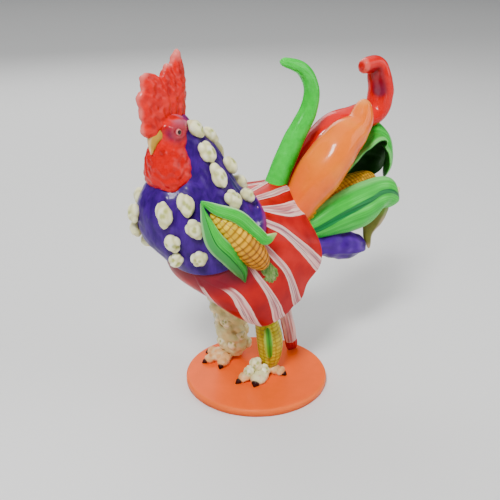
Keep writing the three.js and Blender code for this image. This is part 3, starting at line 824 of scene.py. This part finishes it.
def make_comb():
    deep = np.array([0.5, 0.52, 0.48, 0.42]) * COMB_THICKNESS
    lobes = []
    for (root_x, root_z), (tip_x, tip_z), wide, _ in COMB_LOBES:
        path = [(root_x, 0, root_z), ((root_x + tip_x) / 2, 0, (root_z + tip_z) / 2), (tip_x, 0, tip_z)]
        lobes.append((turned(limb(path, wide, deep, rows=40, sides=40, blunt=5)[0]), {}))
    piece = build("comb", lobes, shaded_material("comb_paint", **COMB_FINISH))
    mesh = melted(piece, 0.45, 8)
    world = vectors(mesh.vertices, "co")
    places = ((world / MM - FIGURE_PLACE) / SHARE - HEAD_PLACE) @ HEAD_AXES.T
    x, y, z = places.T
    folds = np.sin(26 * np.arctan2(x + 2, z - 134) + 0.12 * z)
    fine = ripple(places, 4.2, 32)
    bumps = 0.16 * folds * smooth_step(143, 150, z) + 0.16 * ripple(places, 9, 31) + 0.22 * fine
    world = world + vectors(mesh.vertex_normals, "vector") * (bumps * MM)[:, None]
    mesh.vertices.foreach_set("co", world.ravel())
    mesh.update()
    # Painted highlight on the lobes' tips, strongest on the topmost, and along their thin edges; painted
    # shade in the fold troughs and small hollows.
    tip_near = np.min([np.linalg.norm(places - (tip[0], 0, tip[1]), axis=-1) / reach
                       for _, tip, _, reach in COMB_LOBES], axis=0)
    pale = smooth_step(0.95, 0.35, tip_near) * np.where(z > 170, 1, 0.6)
    rim = smooth_step(1.9, 0.7, np.abs(y)) * smooth_step(1.7, 0.9, tip_near)
    deep = smooth_step(0.1, 0.9, -folds) * patches(places, 9, 34, 0.0, 1.0)
    deep = np.maximum(deep, 0.5 * smooth_step(-0.35, -1.3, fine))
    colours = blend(RED, (0.8 * deep, RED_DARK), (0.55 * patches(places, 8, 31), RED_LIGHT),
                    (0.45 * smooth_step(-3.5, -8.5, x), (0.44, 0.05, 0.03)), (0.35 * rim, RED_PALE),
                    (0.6 * pale, (0.88, 0.26, 0.22)))
    colour_points(mesh, "paint", colours)


def make_beak():
    points, t, angle = limb([(3, 0, 141), (9.6, 0, 138.4), (12.6, 0, 130.6)], (4.6, 4.2, 1.1), (5.4, 3.4, 1),
                            rows=48, sides=40, blunt=3)
    gape = bell(np.cos(angle), 0.35, 0.09) * smooth_step(0.2, 0.4, t)
    points = pushed(points, -0.3 * gape + 0.06 * ripple(points, 3, 41))
    # Painted highlight: a pale streak down one side of the beak.
    ridge_highlight = smooth_step(-0.75, -0.95, np.cos(angle)) * smooth_step(0.3, 0.6, t)
    paint = blend((0.52, 0.29, 0.03), (0.8 * ridge_highlight, (0.90, 0.60, 0.26)),
                  (0.5 * smooth_step(0.8, 1, t), (0.80, 0.50, 0.16)),
                  (0.8 * smooth_step(0.45, 0.1, t), (0.30, 0.13, 0.01)), (0.8 * gape, BROWN))
    painted("beak", "beak_yellow", [(turned(points), paint)], depth=0.08)


def make_eyes():
    balls = []
    rays, polar = sphere(32, 40)
    paint = blend((0.42, 0.05, 0.07), (0.85 * smooth_step(1.05, 0.9, polar), (0.76, 0.26, 0.22)),
                  (smooth_step(0.64, 0.54, polar), (0.008, 0.003, 0.003)))
    for side in (1, -1):
        out = unit(np.array([0.18, side, 0.12]))
        forward = unit(np.cross((0, 0, 1), out))
        axes = np.array([forward, np.cross(out, forward), out])
        balls.append((turned(EYE * [1, side, 1] + rays @ axes * [1.7, 1.7, 1.9] - out * 0.3), paint))
    painted("eyes", "eye_black", balls, roughness=0.2, coat=0.5, vary=0.03, depth=0.02)


# Corn

CORN_FINISH = {"size": 1.6, "depth": 0.05}


def corn(path, wide, deep, rings, rows, depth, seed, blunt=5, tone=1.0, ripe=(0.1, 0.75), gap=0.92,
         row_gap=0.55):
    """Ear of corn: kernels long round the ear, pale at its tip and golden brown towards its foot, with a
    painted highlight on each kernel's crown and painted shade in the grooves.
    """
    def height(t, angle):
        """1 on a kernel's crown and 0 in the groove round it."""
        along_it, round_it = t * rings % 1, angle / (2 * math.pi) * rows % 1
        return (1 - np.abs(2 * along_it - 1) ** 2.2) * (1 - row_gap * np.abs(2 * round_it - 1) ** 5)

    points, t, angle = limb(path, wide, deep, rows=rings * 9, sides=rows * 8, blunt=blunt,
                            relief=lambda t, angle: 1 - depth * (1 - height(t, angle) ** 0.6))
    top = height(t, angle)
    ripeness = smooth_step(ripe[0], ripe[1], t)
    number = 12.9898 * np.floor(t * rings) + 78.233 * np.floor(angle / (2 * math.pi) * rows) + seed
    odd = (np.sin(number) * 43758.5 % 1) * 2 - 1
    paint = blend((0.78, 0.33, 0.004), (1 - ripeness, (0.84, 0.56, 0.012)),
                  (0.75 * ripeness, (0.52, 0.17, 0.002)))
    paint = paint * (1 + 0.22 * odd)[..., None]
    # Painted highlight on each kernel's crown.
    light = blend((1.0, 0.70, 0.02), (ripeness, (1.0, 0.44, 0.004)))
    share = (smooth_step(0.45, 0.95, top) * (0.55 - 0.22 * ripeness) * (0.8 + 0.3 * odd))[..., None]
    paint = paint * (1 - share) + light * share
    # Painted shade: dark brown in the grooves between kernels.
    groove = (gap * smooth_step(0.74, 0.22, top))[..., None]
    paint = paint * (1 - groove) + blend(BROWN, (1 - ripeness, (0.34, 0.15, 0.006))) * groove
    return points, np.clip(paint * tone, 0, 1)


# Leaves

def leaf_material(name, rib=None, rib_half=(0.16, 0.10), pale_edges=0.5, groove=None, lining=None,
                  flange=None, tip=None):
    """Green husk with fine veins along it and pale edges.

    rib is where a broad dark rib lies across the leaf at its two ends, groove the same for a thin dark
    line; lining is painted shade, a dark colour on the side that faces away from the leaf's outer face.
    flange is a colour beyond a place across, from its start to its full tone, and tip the same down the leaf.
    """
    paint = Paint(name)
    across, down = paint.value("across"), paint.value("down")

    def off(place):
        wavy = paint.times(paint.minus(paint.noise(6), 0.5), 0.04)
        away = paint.minus(across, paint.spread(down, 0.0, 1.0, *place))
        return paint.math("ABSOLUTE", paint.plus(away, wavy))

    streak = paint.node("ShaderNodeCombineXYZ", i0=paint.times(across, 6.0), i1=paint.times(down, 1.2),
                        i2=0.3)
    veins = paint.node("ShaderNodeTexNoise", Vector=streak, Scale=2.0, Detail=4.0, Roughness=0.6)
    tone = paint.plus(paint.times(veins, 0.7), paint.times(paint.noise(18, 2), 0.3))
    colour = paint.ramp(tone, [(0.34, (0.010, 0.42, 0.025)), (0.50, GREEN), (0.66, (0.09, 0.76, 0.09))])
    if flange:
        colour = paint.mix(paint.step(across, flange[0], flange[1]), colour, flange[2])
    edge = paint.times(paint.step(paint.math("ABSOLUTE", across), 0.74, 0.97), pale_edges)
    colour = paint.mix(edge, colour, GREEN_PALE)
    if tip:
        colour = paint.mix(paint.step(down, tip[0], tip[1]), colour, tip[2])
    if rib:
        half = paint.spread(down, 0.0, 1.0, *rib_half)
        dark = paint.ramp(veins, [(0.35, GREEN_RIB), (0.65, (0.012, 0.24, 0.06))])
        colour = paint.mix(paint.step(paint.minus(off(rib), half), 0.02, -0.03), colour, dark)
    if groove:
        line = paint.times(paint.step(off(groove), 0.10, 0.03), 0.9)
        colour = paint.mix(line, colour, (0.004, 0.08, 0.015))
    # Painted shade on the side facing away from the outer face
    if lining:
        colour = paint.mix(paint.value("lining"), colour, lining)
    lines = paint.node("ShaderNodeTexWave", "Fac", {"wave_type": "BANDS", "bands_direction": "X"},
                       Vector=streak, Scale=1.1, Distortion=2.5)
    return paint.finish(colour, paint.bump(lines, 0.10, 0.5, paint.brushed()))


def leaf(path, wide, deep, cup=0.0, seed=1, rows=110, sides=64, curl=0.5, groove=0.0, at=0.0, roll=0.2):
    """A husk leaf: thin, with a softly rolling surface and a groove along it at a place across."""
    points, t, angle = limb(path, wide, deep, rows=rows, sides=sides, cup=cup)
    across = np.cos(angle)
    lift = curl * np.sin(3.1 * t * math.pi + seed) * across + roll * ripple(points, 14, seed)
    sink = groove * bell(across, at, 0.12) * np.sign(np.sin(angle))
    _, out = path_frame(path, t, SIDEWAYS)
    points = with_shut_ends(points + out * (plateau(0, 0.12, 0.88, 1, t) * (lift - sink))[..., None])
    return points, {"across": across, "down": t, "lining": smooth_step(-0.05, 0.1, np.sin(angle))}


def make_wings():
    upper_paint = leaf_material("wing_upper_leaf_paint", pale_edges=0.9, tip=(0.86, 0.97, (0.46, 0.52, 0.16)))
    lower_paint = leaf_material("wing_lower_leaf_paint", pale_edges=0.6, groove=(0.1, 0.1),
                                flange=(0.1, 0.3, (0.045, 0.36, 0.07)),
                                tip=(0.25, 1.15, (0.03, 0.15, 0.02)))
    tuft_paint = plain_paint("tuft_paint", (0.05, 0.16, 0.015), (0.13, 0.26, 0.05), (0.34, 0.42, 0.16),
                             size=2.5, stretch=(2, 2, 0.6))
    for side, name in ((1, "near"), (-1, "far")):
        def placed(points):
            return [(x, -side * y, z) for x, y, z in points]
        cob = corn(placed([(-34, -27, 105.5), (-20.5, -32, 90), (-7, -30.5, 74)]),
                   np.array([0.45, 1, 0.8]) * WING_COB_RADIUS, np.array([0.5, 1, 0.9]) * WING_COB_RADIUS,
                   16, 11, 0.09, 61)
        upper = leaf(placed([(-37.6, -23.5, 110.2), (-32.5, -30, 107.6), (-23.5, -33.5, 103.6),
                             (-15.5, -35, 95.6), (-9.5, -35.5, 90.6), (-4.2, -37, 93.2)]),
                     (1.4, 2.6, 3.4, 3.4, 2.8, 1.2), np.array([0.3, 0.8, 1, 1, 0.7, 0.4]) * LEAF_THICKNESS,
                     seed=3)
        lower = leaf(placed([(-37.7, -24, 109.9), (-38, -30, 103), (-35, -33, 93), (-28, -34, 84.6),
                             (-21, -32, 75), (-18.3, -31, 67.6)]),
                     (1, 2.6, 4.6, 4.8, 3.6, 0.9), np.array([0.3, 0.8, 1, 1, 0.8, 0.5]) * LEAF_THICKNESS,
                     seed=4, groove=0.7, at=-0.05)
        tuft, t, angle = limb(placed([(-9, -28.5, 76.5), (-4.5, -30.5, 69.5), (-2, -29.5, 62)]),
                              (3.8, 4.6, 2.6), (3.4, 3, 1.2), rows=60, sides=72)
        strands = 0.3 * np.sin(13 * angle + 2 * t) + 0.25 * ripple(tuft, 2.5, 5)
        tuft = pushed(tuft, plateau(0, 0.3, 0.6, 0.95, t) * strands)
        painted("wing_cob_" + name, "corn_yellow", [cob], **CORN_FINISH)
        build("wing_upper_leaf_" + name, [upper], upper_paint)
        build("wing_lower_leaf_" + name, [lower], lower_paint)
        build("wing_tuft_" + name, [(tuft, {})], tuft_paint)


# Tail

# Angle round the peppers that is turned roughly to the photograph's view
VIEW_SIDE = math.radians(225)


def make_chili():
    path = [(9, 0, 84), (16, 0, 106), (25.5, 0, 127.5), (34, 0, 142), (35.6, 0, 153), (30, 0, 162.5),
            (17, 0, 167.8)]
    wide = np.array([1, 1, 0.9, 0.76, 0.68, 0.56, 0.42]) * CHILI_RADIUS
    points, t, angle = limb(path, wide, rows=160, sides=56, blunt=40)
    points = pushed(points, 0.12 * ripple(points, 14, 71) + 0.12 * np.sin(3 * angle + 9 * t))
    paint = plain_paint("chili_paint", (0.006, 0.54, 0.025), CHILI_GREEN, (0.035, 0.74, 0.06), size=16,
                        gloss=(0.2, 0.28), coat=0.3)
    build("green_chili", [(points, {})], paint)


def make_orange_pepper():
    path = [(12, -6, 76), (25, -9, 96), (35, -12.5, 112), (47, -13, 126.5), (58.5, -11, 134.5),
            (63, -9, 146.5)]
    wide = np.array([0.66, 0.8, 1, 0.87, 0.6, 0.42]) * ORANGE_PEPPER_RADIUS
    points, t, angle = limb(path, wide, rows=150, sides=96, blunt=9)
    lobes = 0.3 * np.cos(4 * angle + 0.8) * plateau(0.05, 0.35, 0.6, 0.9, t)
    points = pushed(points, lobes + 0.15 * ripple(points, 14, 72))
    # Painted light: the side turned towards the camera is lighter and yellower.
    lit = smooth_step(0.2, 0.95, np.cos(angle - VIEW_SIDE)) * smooth_step(0.2, 0.5, t)
    paint = blend(ORANGE, (0.8 * patches(points, 17, 75, 0.2, 1.3), ORANGE_LIGHT),
                  (0.7 * patches(points, 17, 75, -0.2, -1.3), ORANGE_DARK), (0.4 * lit, ORANGE_PAINTED_LIGHT),
                  (0.55 * smooth_step(0.93, 1.0, t), (0.97, 0.42, 0.12)))
    painted("orange_pepper", "pepper_orange", [(points, paint)], roughness=0.26, coat=0.35, vary=0.06, size=6,
            depth=0.1)


def make_red_pepper():
    path = [(14, 4, 74), (31, 6, 97), (41, 6, 115.5), (53, 6, 128.5), (68, 5, 132.8), (78.5, 3, 137.5),
            (80.2, 1.5, 146), (77.6, 0, 154.5), (75.5, 0, 161.2), (64.5, -1, 161.6)]
    wide = np.array([0.8, 0.94, 1, 1, 0.92, 0.84, 0.82, 0.78, 0.62, 0.52]) * RED_PEPPER_RADIUS

    def sunk(t, angle):
        """How deep the hollow along the hook's side is."""
        facing = np.maximum(0, np.cos(angle - VIEW_SIDE))
        return facing ** 2 * along([0, 0, 0, 0.6, 1, 1, 0.3], t)

    points, t, angle = limb(path, wide, rows=190, sides=96, blunt=36,
                            relief=lambda t, angle: 1 - 0.55 * sunk(t, angle))
    points = pushed(points, 0.15 * ripple(points, 10, 73))
    # Painted shade in the hollow along the hook, painted purple glints low in it, and a painted highlight
    # ring round the end.
    channel_shade = sunk(t, angle) * smooth_step(0.6, 0.72, t)
    paint = blend(RED, (0.5 * patches(points, 12, 76, 0.2, 1.3), RED_LIGHT),
                  (0.85 * smooth_step(0.15, 0.7, channel_shade), (0.20, 0.004, 0.014)),
                  (0.6 * smooth_step(0.3, 0.8, channel_shade) * smooth_step(0.80, 0.70, t), (0.20, 0.03, 0.09)),
                  (0.5 * plateau(0.965, 0.98, 0.990, 0.998, t), (0.90, 0.20, 0.15)),
                  (0.5 * smooth_step(0.992, 0.998, t), RED_DARK))
    painted("red_pepper", "pepper_red", [(points, paint)], roughness=0.22, coat=0.35, vary=0.08, size=7,
            depth=0.12)


def make_tail_cob():
    path = [(14, -5, 76), (38, -6, 88), (58, -6, 96.5), (75, -5, 101.5)]
    cob = corn(path, np.array([0.9, 0.95, 1, 0.7]) * TAIL_COB_RADIUS, None, 30, 20, 0.07, 62, blunt=8,
               tone=np.array([0.92, 0.92, 1.6]), ripe=(0.0, 1.8), gap=0.65, row_gap=1)
    painted("tail_cob", "corn_yellow", [cob], **CORN_FINISH)


def make_tail_leaves():
    deep = np.array([0.7, 0.8, 0.8, 0.7, 0.6, 0.4]) * LEAF_THICKNESS
    near_path = [(14, -9, 76), (32, -14, 81), (47, -17.5, 87), (62, -17.5, 90.3), (76, -15, 92.8),
                 (88.5, -11, 87.5)]
    near = leaf(near_path, (5, 8.5, 12, 13.1, 10.8, 8.5), deep, cup=4, seed=6, curl=0.3, groove=0.7, at=-0.12,
                sides=96)
    near_paint = leaf_material("tail_near_leaf_paint", rib=(0.05, -0.42), rib_half=(0.20, 0.10),
                               pale_edges=0.35)
    build("tail_leaf_near", [near], near_paint)
    far_path = [(14, 11, 80), (34, 13, 91), (52, 13, 101), (66, 12, 108), (78, 10, 110), (91, 7.5, 107)]
    points, values = leaf(far_path, (5, 9, 13, 14, 13, 10), deep, cup=-4, seed=7, curl=0.3, groove=0.5,
                          sides=96)
    # The far leaf's other side is painted near black green: painted shade.
    values["lining"] = 1 - values["lining"]
    far_paint = leaf_material("tail_far_leaf_paint", rib=(0.0, 0.0), lining=(0.010, 0.060, 0.006))
    build("tail_leaf_far", [(points, values)], far_paint)


def make_hood_leaf():
    path = [(40, 0, 94), (56, -2, 109), (66.5, -2, 119.5), (77, -2, 125.4), (84, -2.5, 119.5),
            (85.5, -3, 110), (82.5, -3.5, 100)]
    hood, t, angle = limb(path, np.array([0.8, 0.9, 0.9, 0.9, 0.9, 0.8, 0.5]) * LEAF_THICKNESS,
                          (5, 9, 11, 11.5, 11, 9.5, 6), face=(0.52, 0.82, 0.24), rows=120, sides=96)
    hood = pushed(hood, 0.15 * ripple(hood, 12, 8) * plateau(0, 0.1, 0.9, 1, t))
    values = {"across": np.sin(angle), "down": t, "lining": smooth_step(0.0, 0.35, np.cos(angle))}
    # The hood's inside is painted near black green: painted shade.
    build("tail_hood_leaf", [(hood, values)],
          leaf_material("hood_leaf_paint", pale_edges=0.3, lining=(0.012, 0.085, 0.008)))


def make_drooping_leaf():
    tan, t, angle = limb([(76, -10, 90), (72, -10.5, 80), (69.5, -10, 71), (70.5, -10, 61.5)],
                         (9, 7.5, 3.4, 1.2), np.array([0.7, 0.7, 0.6, 0.4]) * LEAF_THICKNESS)
    tan = pushed(tan, 0.2 * ripple(tan, 8, 77) * plateau(0, 0.2, 0.85, 1, t))
    paint = blend((0.13, 0.13, 0.012), (smooth_step(-0.45, -0.75, np.cos(angle)), (0.42, 0.33, 0.18)),
                  (0.7 * smooth_step(0.8, 0.95, t), (0.46, 0.30, 0.17)),
                  (0.6 * smooth_step(0.35, 0.1, t), (0.10, 0.30, 0.03)))
    painted("tail_drooping_leaf", "leaf_tan", [(tan, paint)], vary=0.15)


def make_leaf_tip():
    tip, _ = lobed((87.6, -10, 93.4), np.diag([1.5, 1.5, 1.7]), [(0, 0, 0, 1), (0.2, 0.1, 0.3, 0.9)], 16, 24)
    paint = plain_paint("tip_paint", (0.5, 0.46, 0.36), CREAM, (0.9, 0.86, 0.74))
    build("tail_leaf_tip", [(tip, {})], paint)


def make_purple_chunk():
    points, t, angle = limb([(12, -5, 74), (36, -8, 70.5), (54, -9, 66.8), (68.5, -8.5, 63.6)],
                            np.array([0.9, 0.9, 1, 0.62]) * PURPLE_CHUNK_RADIUS,
                            np.array([1, 1, 1.1, 0.7]) * PURPLE_CHUNK_RADIUS, rows=110, sides=112, blunt=5)
    facets = -0.7 * np.abs(np.sin(3.5 * angle + 1.6 * t)) ** 0.6
    points = pushed(points, plateau(0.05, 0.3, 0.9, 1.0, t) * (facets + 0.6 + 0.4 * ripple(points, 9, 74)))
    paint = blend((0.062, 0.006, 0.245), (0.7 * patches(points, 8, 78), (0.13, 0.03, 0.42)),
                  (0.6 * patches(points, 8, 78, -0.3, -1.2), PURPLE_DARK))
    painted("purple_chunk", "cape_purple", [(points, paint)])


# Legs and feet

def make_foot(name, heel, claws, plump=None):
    """Toes from a heel to where each claw ends. The plump one is a popped kernel's colour."""
    toes = []
    heel = np.array(heel, float)
    for index, claw in enumerate(claws):
        path = [(*(heel + share * (claw - heel)), height)
                for share, height in ((0, 3.4), (0.5, 2), (0.78, 1.8), (1, 0.3))]
        fat = 1.35 if index == plump else 1
        points, t, _ = limb(path, np.array([1.3, 1.1 * fat, fat, 0.3]) * TOE_RADIUS,
                            np.array([1.2, 0.9 * fat, 0.8 * fat, 0.3]) * TOE_RADIUS,
                            face=(0, 0, 1), rows=70, sides=40, blunt=6)
        nail = smooth_step(0.79, 0.82, t)
        joints = 0.2 * np.sin(24 * t) + 0.2 * ripple(points, 4, 80 + index)
        points = pushed(points, joints * (1 - nail) - 0.7 * bell(t, 0.80, 0.03))
        points[..., 2] = np.maximum(points[..., 2], 0)
        tint = (0.78, 0.74, 0.40) if index == plump else (0.80, 0.42, 0.16)
        paint = blend(tint, (0.6 * patches(points, 5, 90 + index, 0), (0.88, 0.74, 0.46)),
                      (0.4 * patches(points, 4, 95 + index, -0.4, -1.5), (0.62, 0.20, 0.04)),
                      (nail, (0.030, 0.006, 0.006)))
        toes.append((points, paint))
    painted(name, "claw_brown", toes)


# Popped kernels at the near ankle: place, way out and radius.
ANKLE_POPCORN = [
    ((-3.5, -14.5, 8.5), (-0.7, -0.7, 0.1), 4.0),
    ((-8.0, -15.0, 5.0), (-0.8, -0.5, 0.3), 3.6),
    ((0.5, -16.5, 4.6), (-0.1, -0.9, 0.4), 3.4),
]
LEG_POPCORN_LENGTH = 1.1
TURN_TO_NEXT = 2.4


def make_near_leg():
    ear = corn([(4, -12, 62), (2.6, -13, 38), (5.8, -13, 20), (6.6, -11, 1)],
               np.array([1, 0.85, 1, 0.7]) * LEG_RADIUS, None, 24, 12, 0.06, 63, blunt=8,
               tone=np.array([0.66, 0.95, 1.0]), ripe=(-0.5, 2.6), gap=0.5, row_gap=1)
    painted("near_leg_corn", "corn_yellow", [ear], **CORN_FINISH)
    points, values = leaf([(0.7, -19, 32), (1.1, -20, 23.2), (3.2, -18, 12.3)], (2.1, 2.6, 2.0),
                          (0.9, 1.1, 0.9), seed=9, curl=0.1, roll=0.1, rows=70, sides=48)
    across = np.abs(values["across"])
    paint = blend((0.38, 0.50, 0.05), (smooth_step(0.85, 0.45, across), (0.07, 0.32, 0.015)),
                  (0.8 * smooth_step(0.30, 0.12, across), (0.02, 0.13, 0.01)))
    painted("near_leg_leaf", "husk_green", [(points, paint)], vary=0.12)
    make_foot("near_foot", (5, -11), [(-9.3, -23), (12.3, -20.5), (-16.6, -15.5), (14, -3)], plump=0)
    popped = []
    for index, (place, out, radius) in enumerate(ANKLE_POPCORN):
        out = unit(np.array(out))
        round_ = unit(np.cross(out, -DOWN))
        popped.append(popped_kernel(np.array(place), out, np.cross(round_, out), round_, radius,
                                    LEG_POPCORN_LENGTH, 340 + index))
    painted("ankle_popcorn", "popcorn_white", popped, **POPCORN_FINISH)


def make_far_leg():
    path = [(-8, 10, 66), (-11, 11, 46), (-6, 12, 25), (-3.5, 12, 1)]
    leg, _, _ = limb(path, np.array([1.2, 1.2, 1.25, 1.2]) * LEG_RADIUS, rows=110, sides=72)
    broad = ripple(leg, 7, 64)
    leg = pushed(leg, 0.7 * broad + 0.3 * ripple(leg, 2.8, 65))
    # Painted shade: darker brown where the broad bumps sink in; the lighter patches are random.
    paint = blend((0.72, 0.68, 0.30), (0.7 * patches(leg, 7, 64, -0.1, -1.3), (0.30, 0.18, 0.03)),
                  (0.6 * patches(leg, 5, 66), (0.86, 0.82, 0.46)))
    surfaces = [(leg, paint)]

    def add_kernels(count, start, span, first_turn, rise, reach, narrowing, radius, seed):
        """Popped kernels wound round the leg."""
        for i in range(count):
            share, turn = start + span * i / (count - 1), TURN_TO_NEXT * i + first_turn
            out = np.array([math.cos(turn), math.sin(turn), rise])
            centre = curve(path, np.array([share]))[0] + out * LEG_RADIUS * (reach - narrowing * share)
            surfaces.append(popped_kernel(centre, out, DOWN, np.cross(DOWN, out), radius,
                                          LEG_POPCORN_LENGTH, seed + i))

    add_kernels(8, 0.3, 0.55, 0, 0, 1.1, 0.35, 4.4, 300)
    add_kernels(16, 0.34, 0.6, 3.6, 0.1, 1.05, 0, 3.7, 400)
    painted("far_leg_popcorn", "popcorn_white", surfaces, **POPCORN_FINISH)
    make_foot("far_foot", (-7, 12), [(-17.5, 22.3), (-24, 12.5), (-18, 2), (4, 20)])


def make_strip():
    path = [(13, 4, 66), (19.5, 4, 44), (25.5, 4, 23), (30.7, 4, -1)]
    points, t, angle = limb(path, [STRIP_HALF_WIDTH] * 4, [STRIP_THICKNESS / 2] * 4, rows=140, sides=96,
                            blunt=20)
    across = np.cos(angle)
    lines = np.sin(14 * across) * np.abs(np.sin(angle))
    points = pushed(points, 0.15 * lines + 0.15 * ripple(points, 8, 67))
    points[..., 2] = np.maximum(points[..., 2], 0)
    attributes = {
        "edge": np.abs(across) * 1.05 + 3 * smooth_step(0.90, 0.93, t),
        "strand": 1.6 * across + 61,
        "down": 2.5 * t,
        "painted_shade": 0 * t,
    }
    build("striped_strip", [(points, attributes)], stripe_material())


# Disc

DISC_ROUNDING = 1.5
DISC_CHAMFER = 0.35


def make_disc():
    inner, middle = DISC_RADIUS - DISC_ROUNDING, DISC_TOP - DISC_ROUNDING
    profile = [(0.0, 0.0), (DISC_RADIUS * 0.5, 0.0), (DISC_RADIUS - DISC_CHAMFER, 0.0),
               (DISC_RADIUS, DISC_CHAMFER)]
    profile += [(inner + DISC_ROUNDING * math.cos(a), middle + DISC_ROUNDING * math.sin(a))
                for a in np.linspace(0, math.pi / 2, 9)]
    profile += [(DISC_RADIUS * share, DISC_TOP) for share in np.linspace(0.94, 0.04, 24)]
    radius, height = np.array(profile + [(0.0, DISC_TOP)]).T[..., None]
    angle = turns(192)
    points = np.stack([radius * np.cos(angle), radius * np.sin(angle), height + 0 * angle], axis=-1)
    # Painted highlight on the rounded rim, and painted shade low on the disc's side and underneath.
    rim = smooth_step(DISC_RADIUS - 2.2, DISC_RADIUS - 0.3, radius + 0 * angle)
    low = smooth_step(2.2, 0.0, points[..., 2]) * (radius > DISC_RADIUS * 0.9)
    paint = blend(DISC_ORANGE, (0.45 * rim, (0.92, 0.20, 0.04)), (0.55 * low, (0.44, 0.03, 0.003)))
    painted("round_disc", "disc_orange", [(points, paint)], "base_disc", roughness=0.42, coat=0.03, vary=0.06,
            size=11, depth=0.1)


# Stage

FLOOR_SIZE = 16
FLOOR_GREY = (0.80, 0.80, 0.79, 1)
ROOM_COLOUR = (0.86, 0.9, 0.95, 1)
ROOM_STRENGTH = 0.12
LIT_PLACE = np.array([0.0, 0.0, 0.09])

# Soft lights, all aimed at LIT_PLACE: name, place, power in watts, size.
LIGHTS = [
    ("ceiling", (0.0, 1.2, 3.2), 80.0, 5.0),
    ("key", (-0.50, -0.50, 0.95), 14.0, 0.24),
    ("fill", (0.8, -0.6, 0.5), 5.5, 0.8),
    ("back", (0.1, 0.9, 0.7), 5.0, 0.7),
]


def make_floor():
    bpy.ops.mesh.primitive_plane_add(size=FLOOR_SIZE)
    floor = bpy.context.object
    floor.name = "floor"
    material = bpy.data.materials.new("pale_floor")
    material.use_nodes = True
    shader = material.node_tree.nodes["Principled BSDF"]
    shader.inputs["Base Color"].default_value = FLOOR_GREY
    shader.inputs["Roughness"].default_value = 0.75
    floor.data.materials.append(material)


def make_lights():
    world = bpy.data.worlds.new("soft_room")
    bpy.context.scene.world = world
    world.use_nodes = True
    world.node_tree.nodes["Background"].inputs["Color"].default_value = ROOM_COLOUR
    world.node_tree.nodes["Background"].inputs["Strength"].default_value = ROOM_STRENGTH
    for name, place, power, size in LIGHTS:
        light = bpy.data.lights.new(name, "AREA")
        light.energy = power
        light.size = size
        lamp = bpy.data.objects.new(name, light)
        bpy.context.scene.collection.objects.link(lamp)
        lamp.location = place
        x, y, z = LIT_PLACE - np.array(place)
        lamp.rotation_euler = (math.pi / 2 + math.atan2(z, math.hypot(x, y)), 0, math.atan2(-x, y))


# The photograph's view: lens in millimetres on a sensor 36 mm wide, looking down and a little to the right.
CAMERA_LENS = 54
CAMERA_PLACE = (-0.16758, -0.32124, 0.22748)
CAMERA_DOWN = math.radians(22.559)
CAMERA_RIGHT = math.radians(27)


def make_camera():
    data = bpy.data.cameras.new("camera")
    data.sensor_width = 36
    data.lens = CAMERA_LENS
    camera = bpy.data.objects.new("camera", data)
    bpy.context.scene.collection.objects.link(camera)
    camera.location = CAMERA_PLACE
    camera.rotation_euler = (math.pi / 2 - CAMERA_DOWN, 0, -CAMERA_RIGHT)
    bpy.context.scene.camera = camera


make_camera()
make_floor()
make_lights()
make_disc()
make_skirt()
make_belly()
make_breast()
make_popcorn()
make_face()
make_comb()
make_beak()
make_eyes()
make_wings()
make_chili()
make_orange_pepper()
make_red_pepper()
make_tail_cob()
make_tail_leaves()
make_hood_leaf()
make_drooping_leaf()
make_leaf_tip()
make_purple_chunk()
make_near_leg()
make_far_leg()
make_strip()
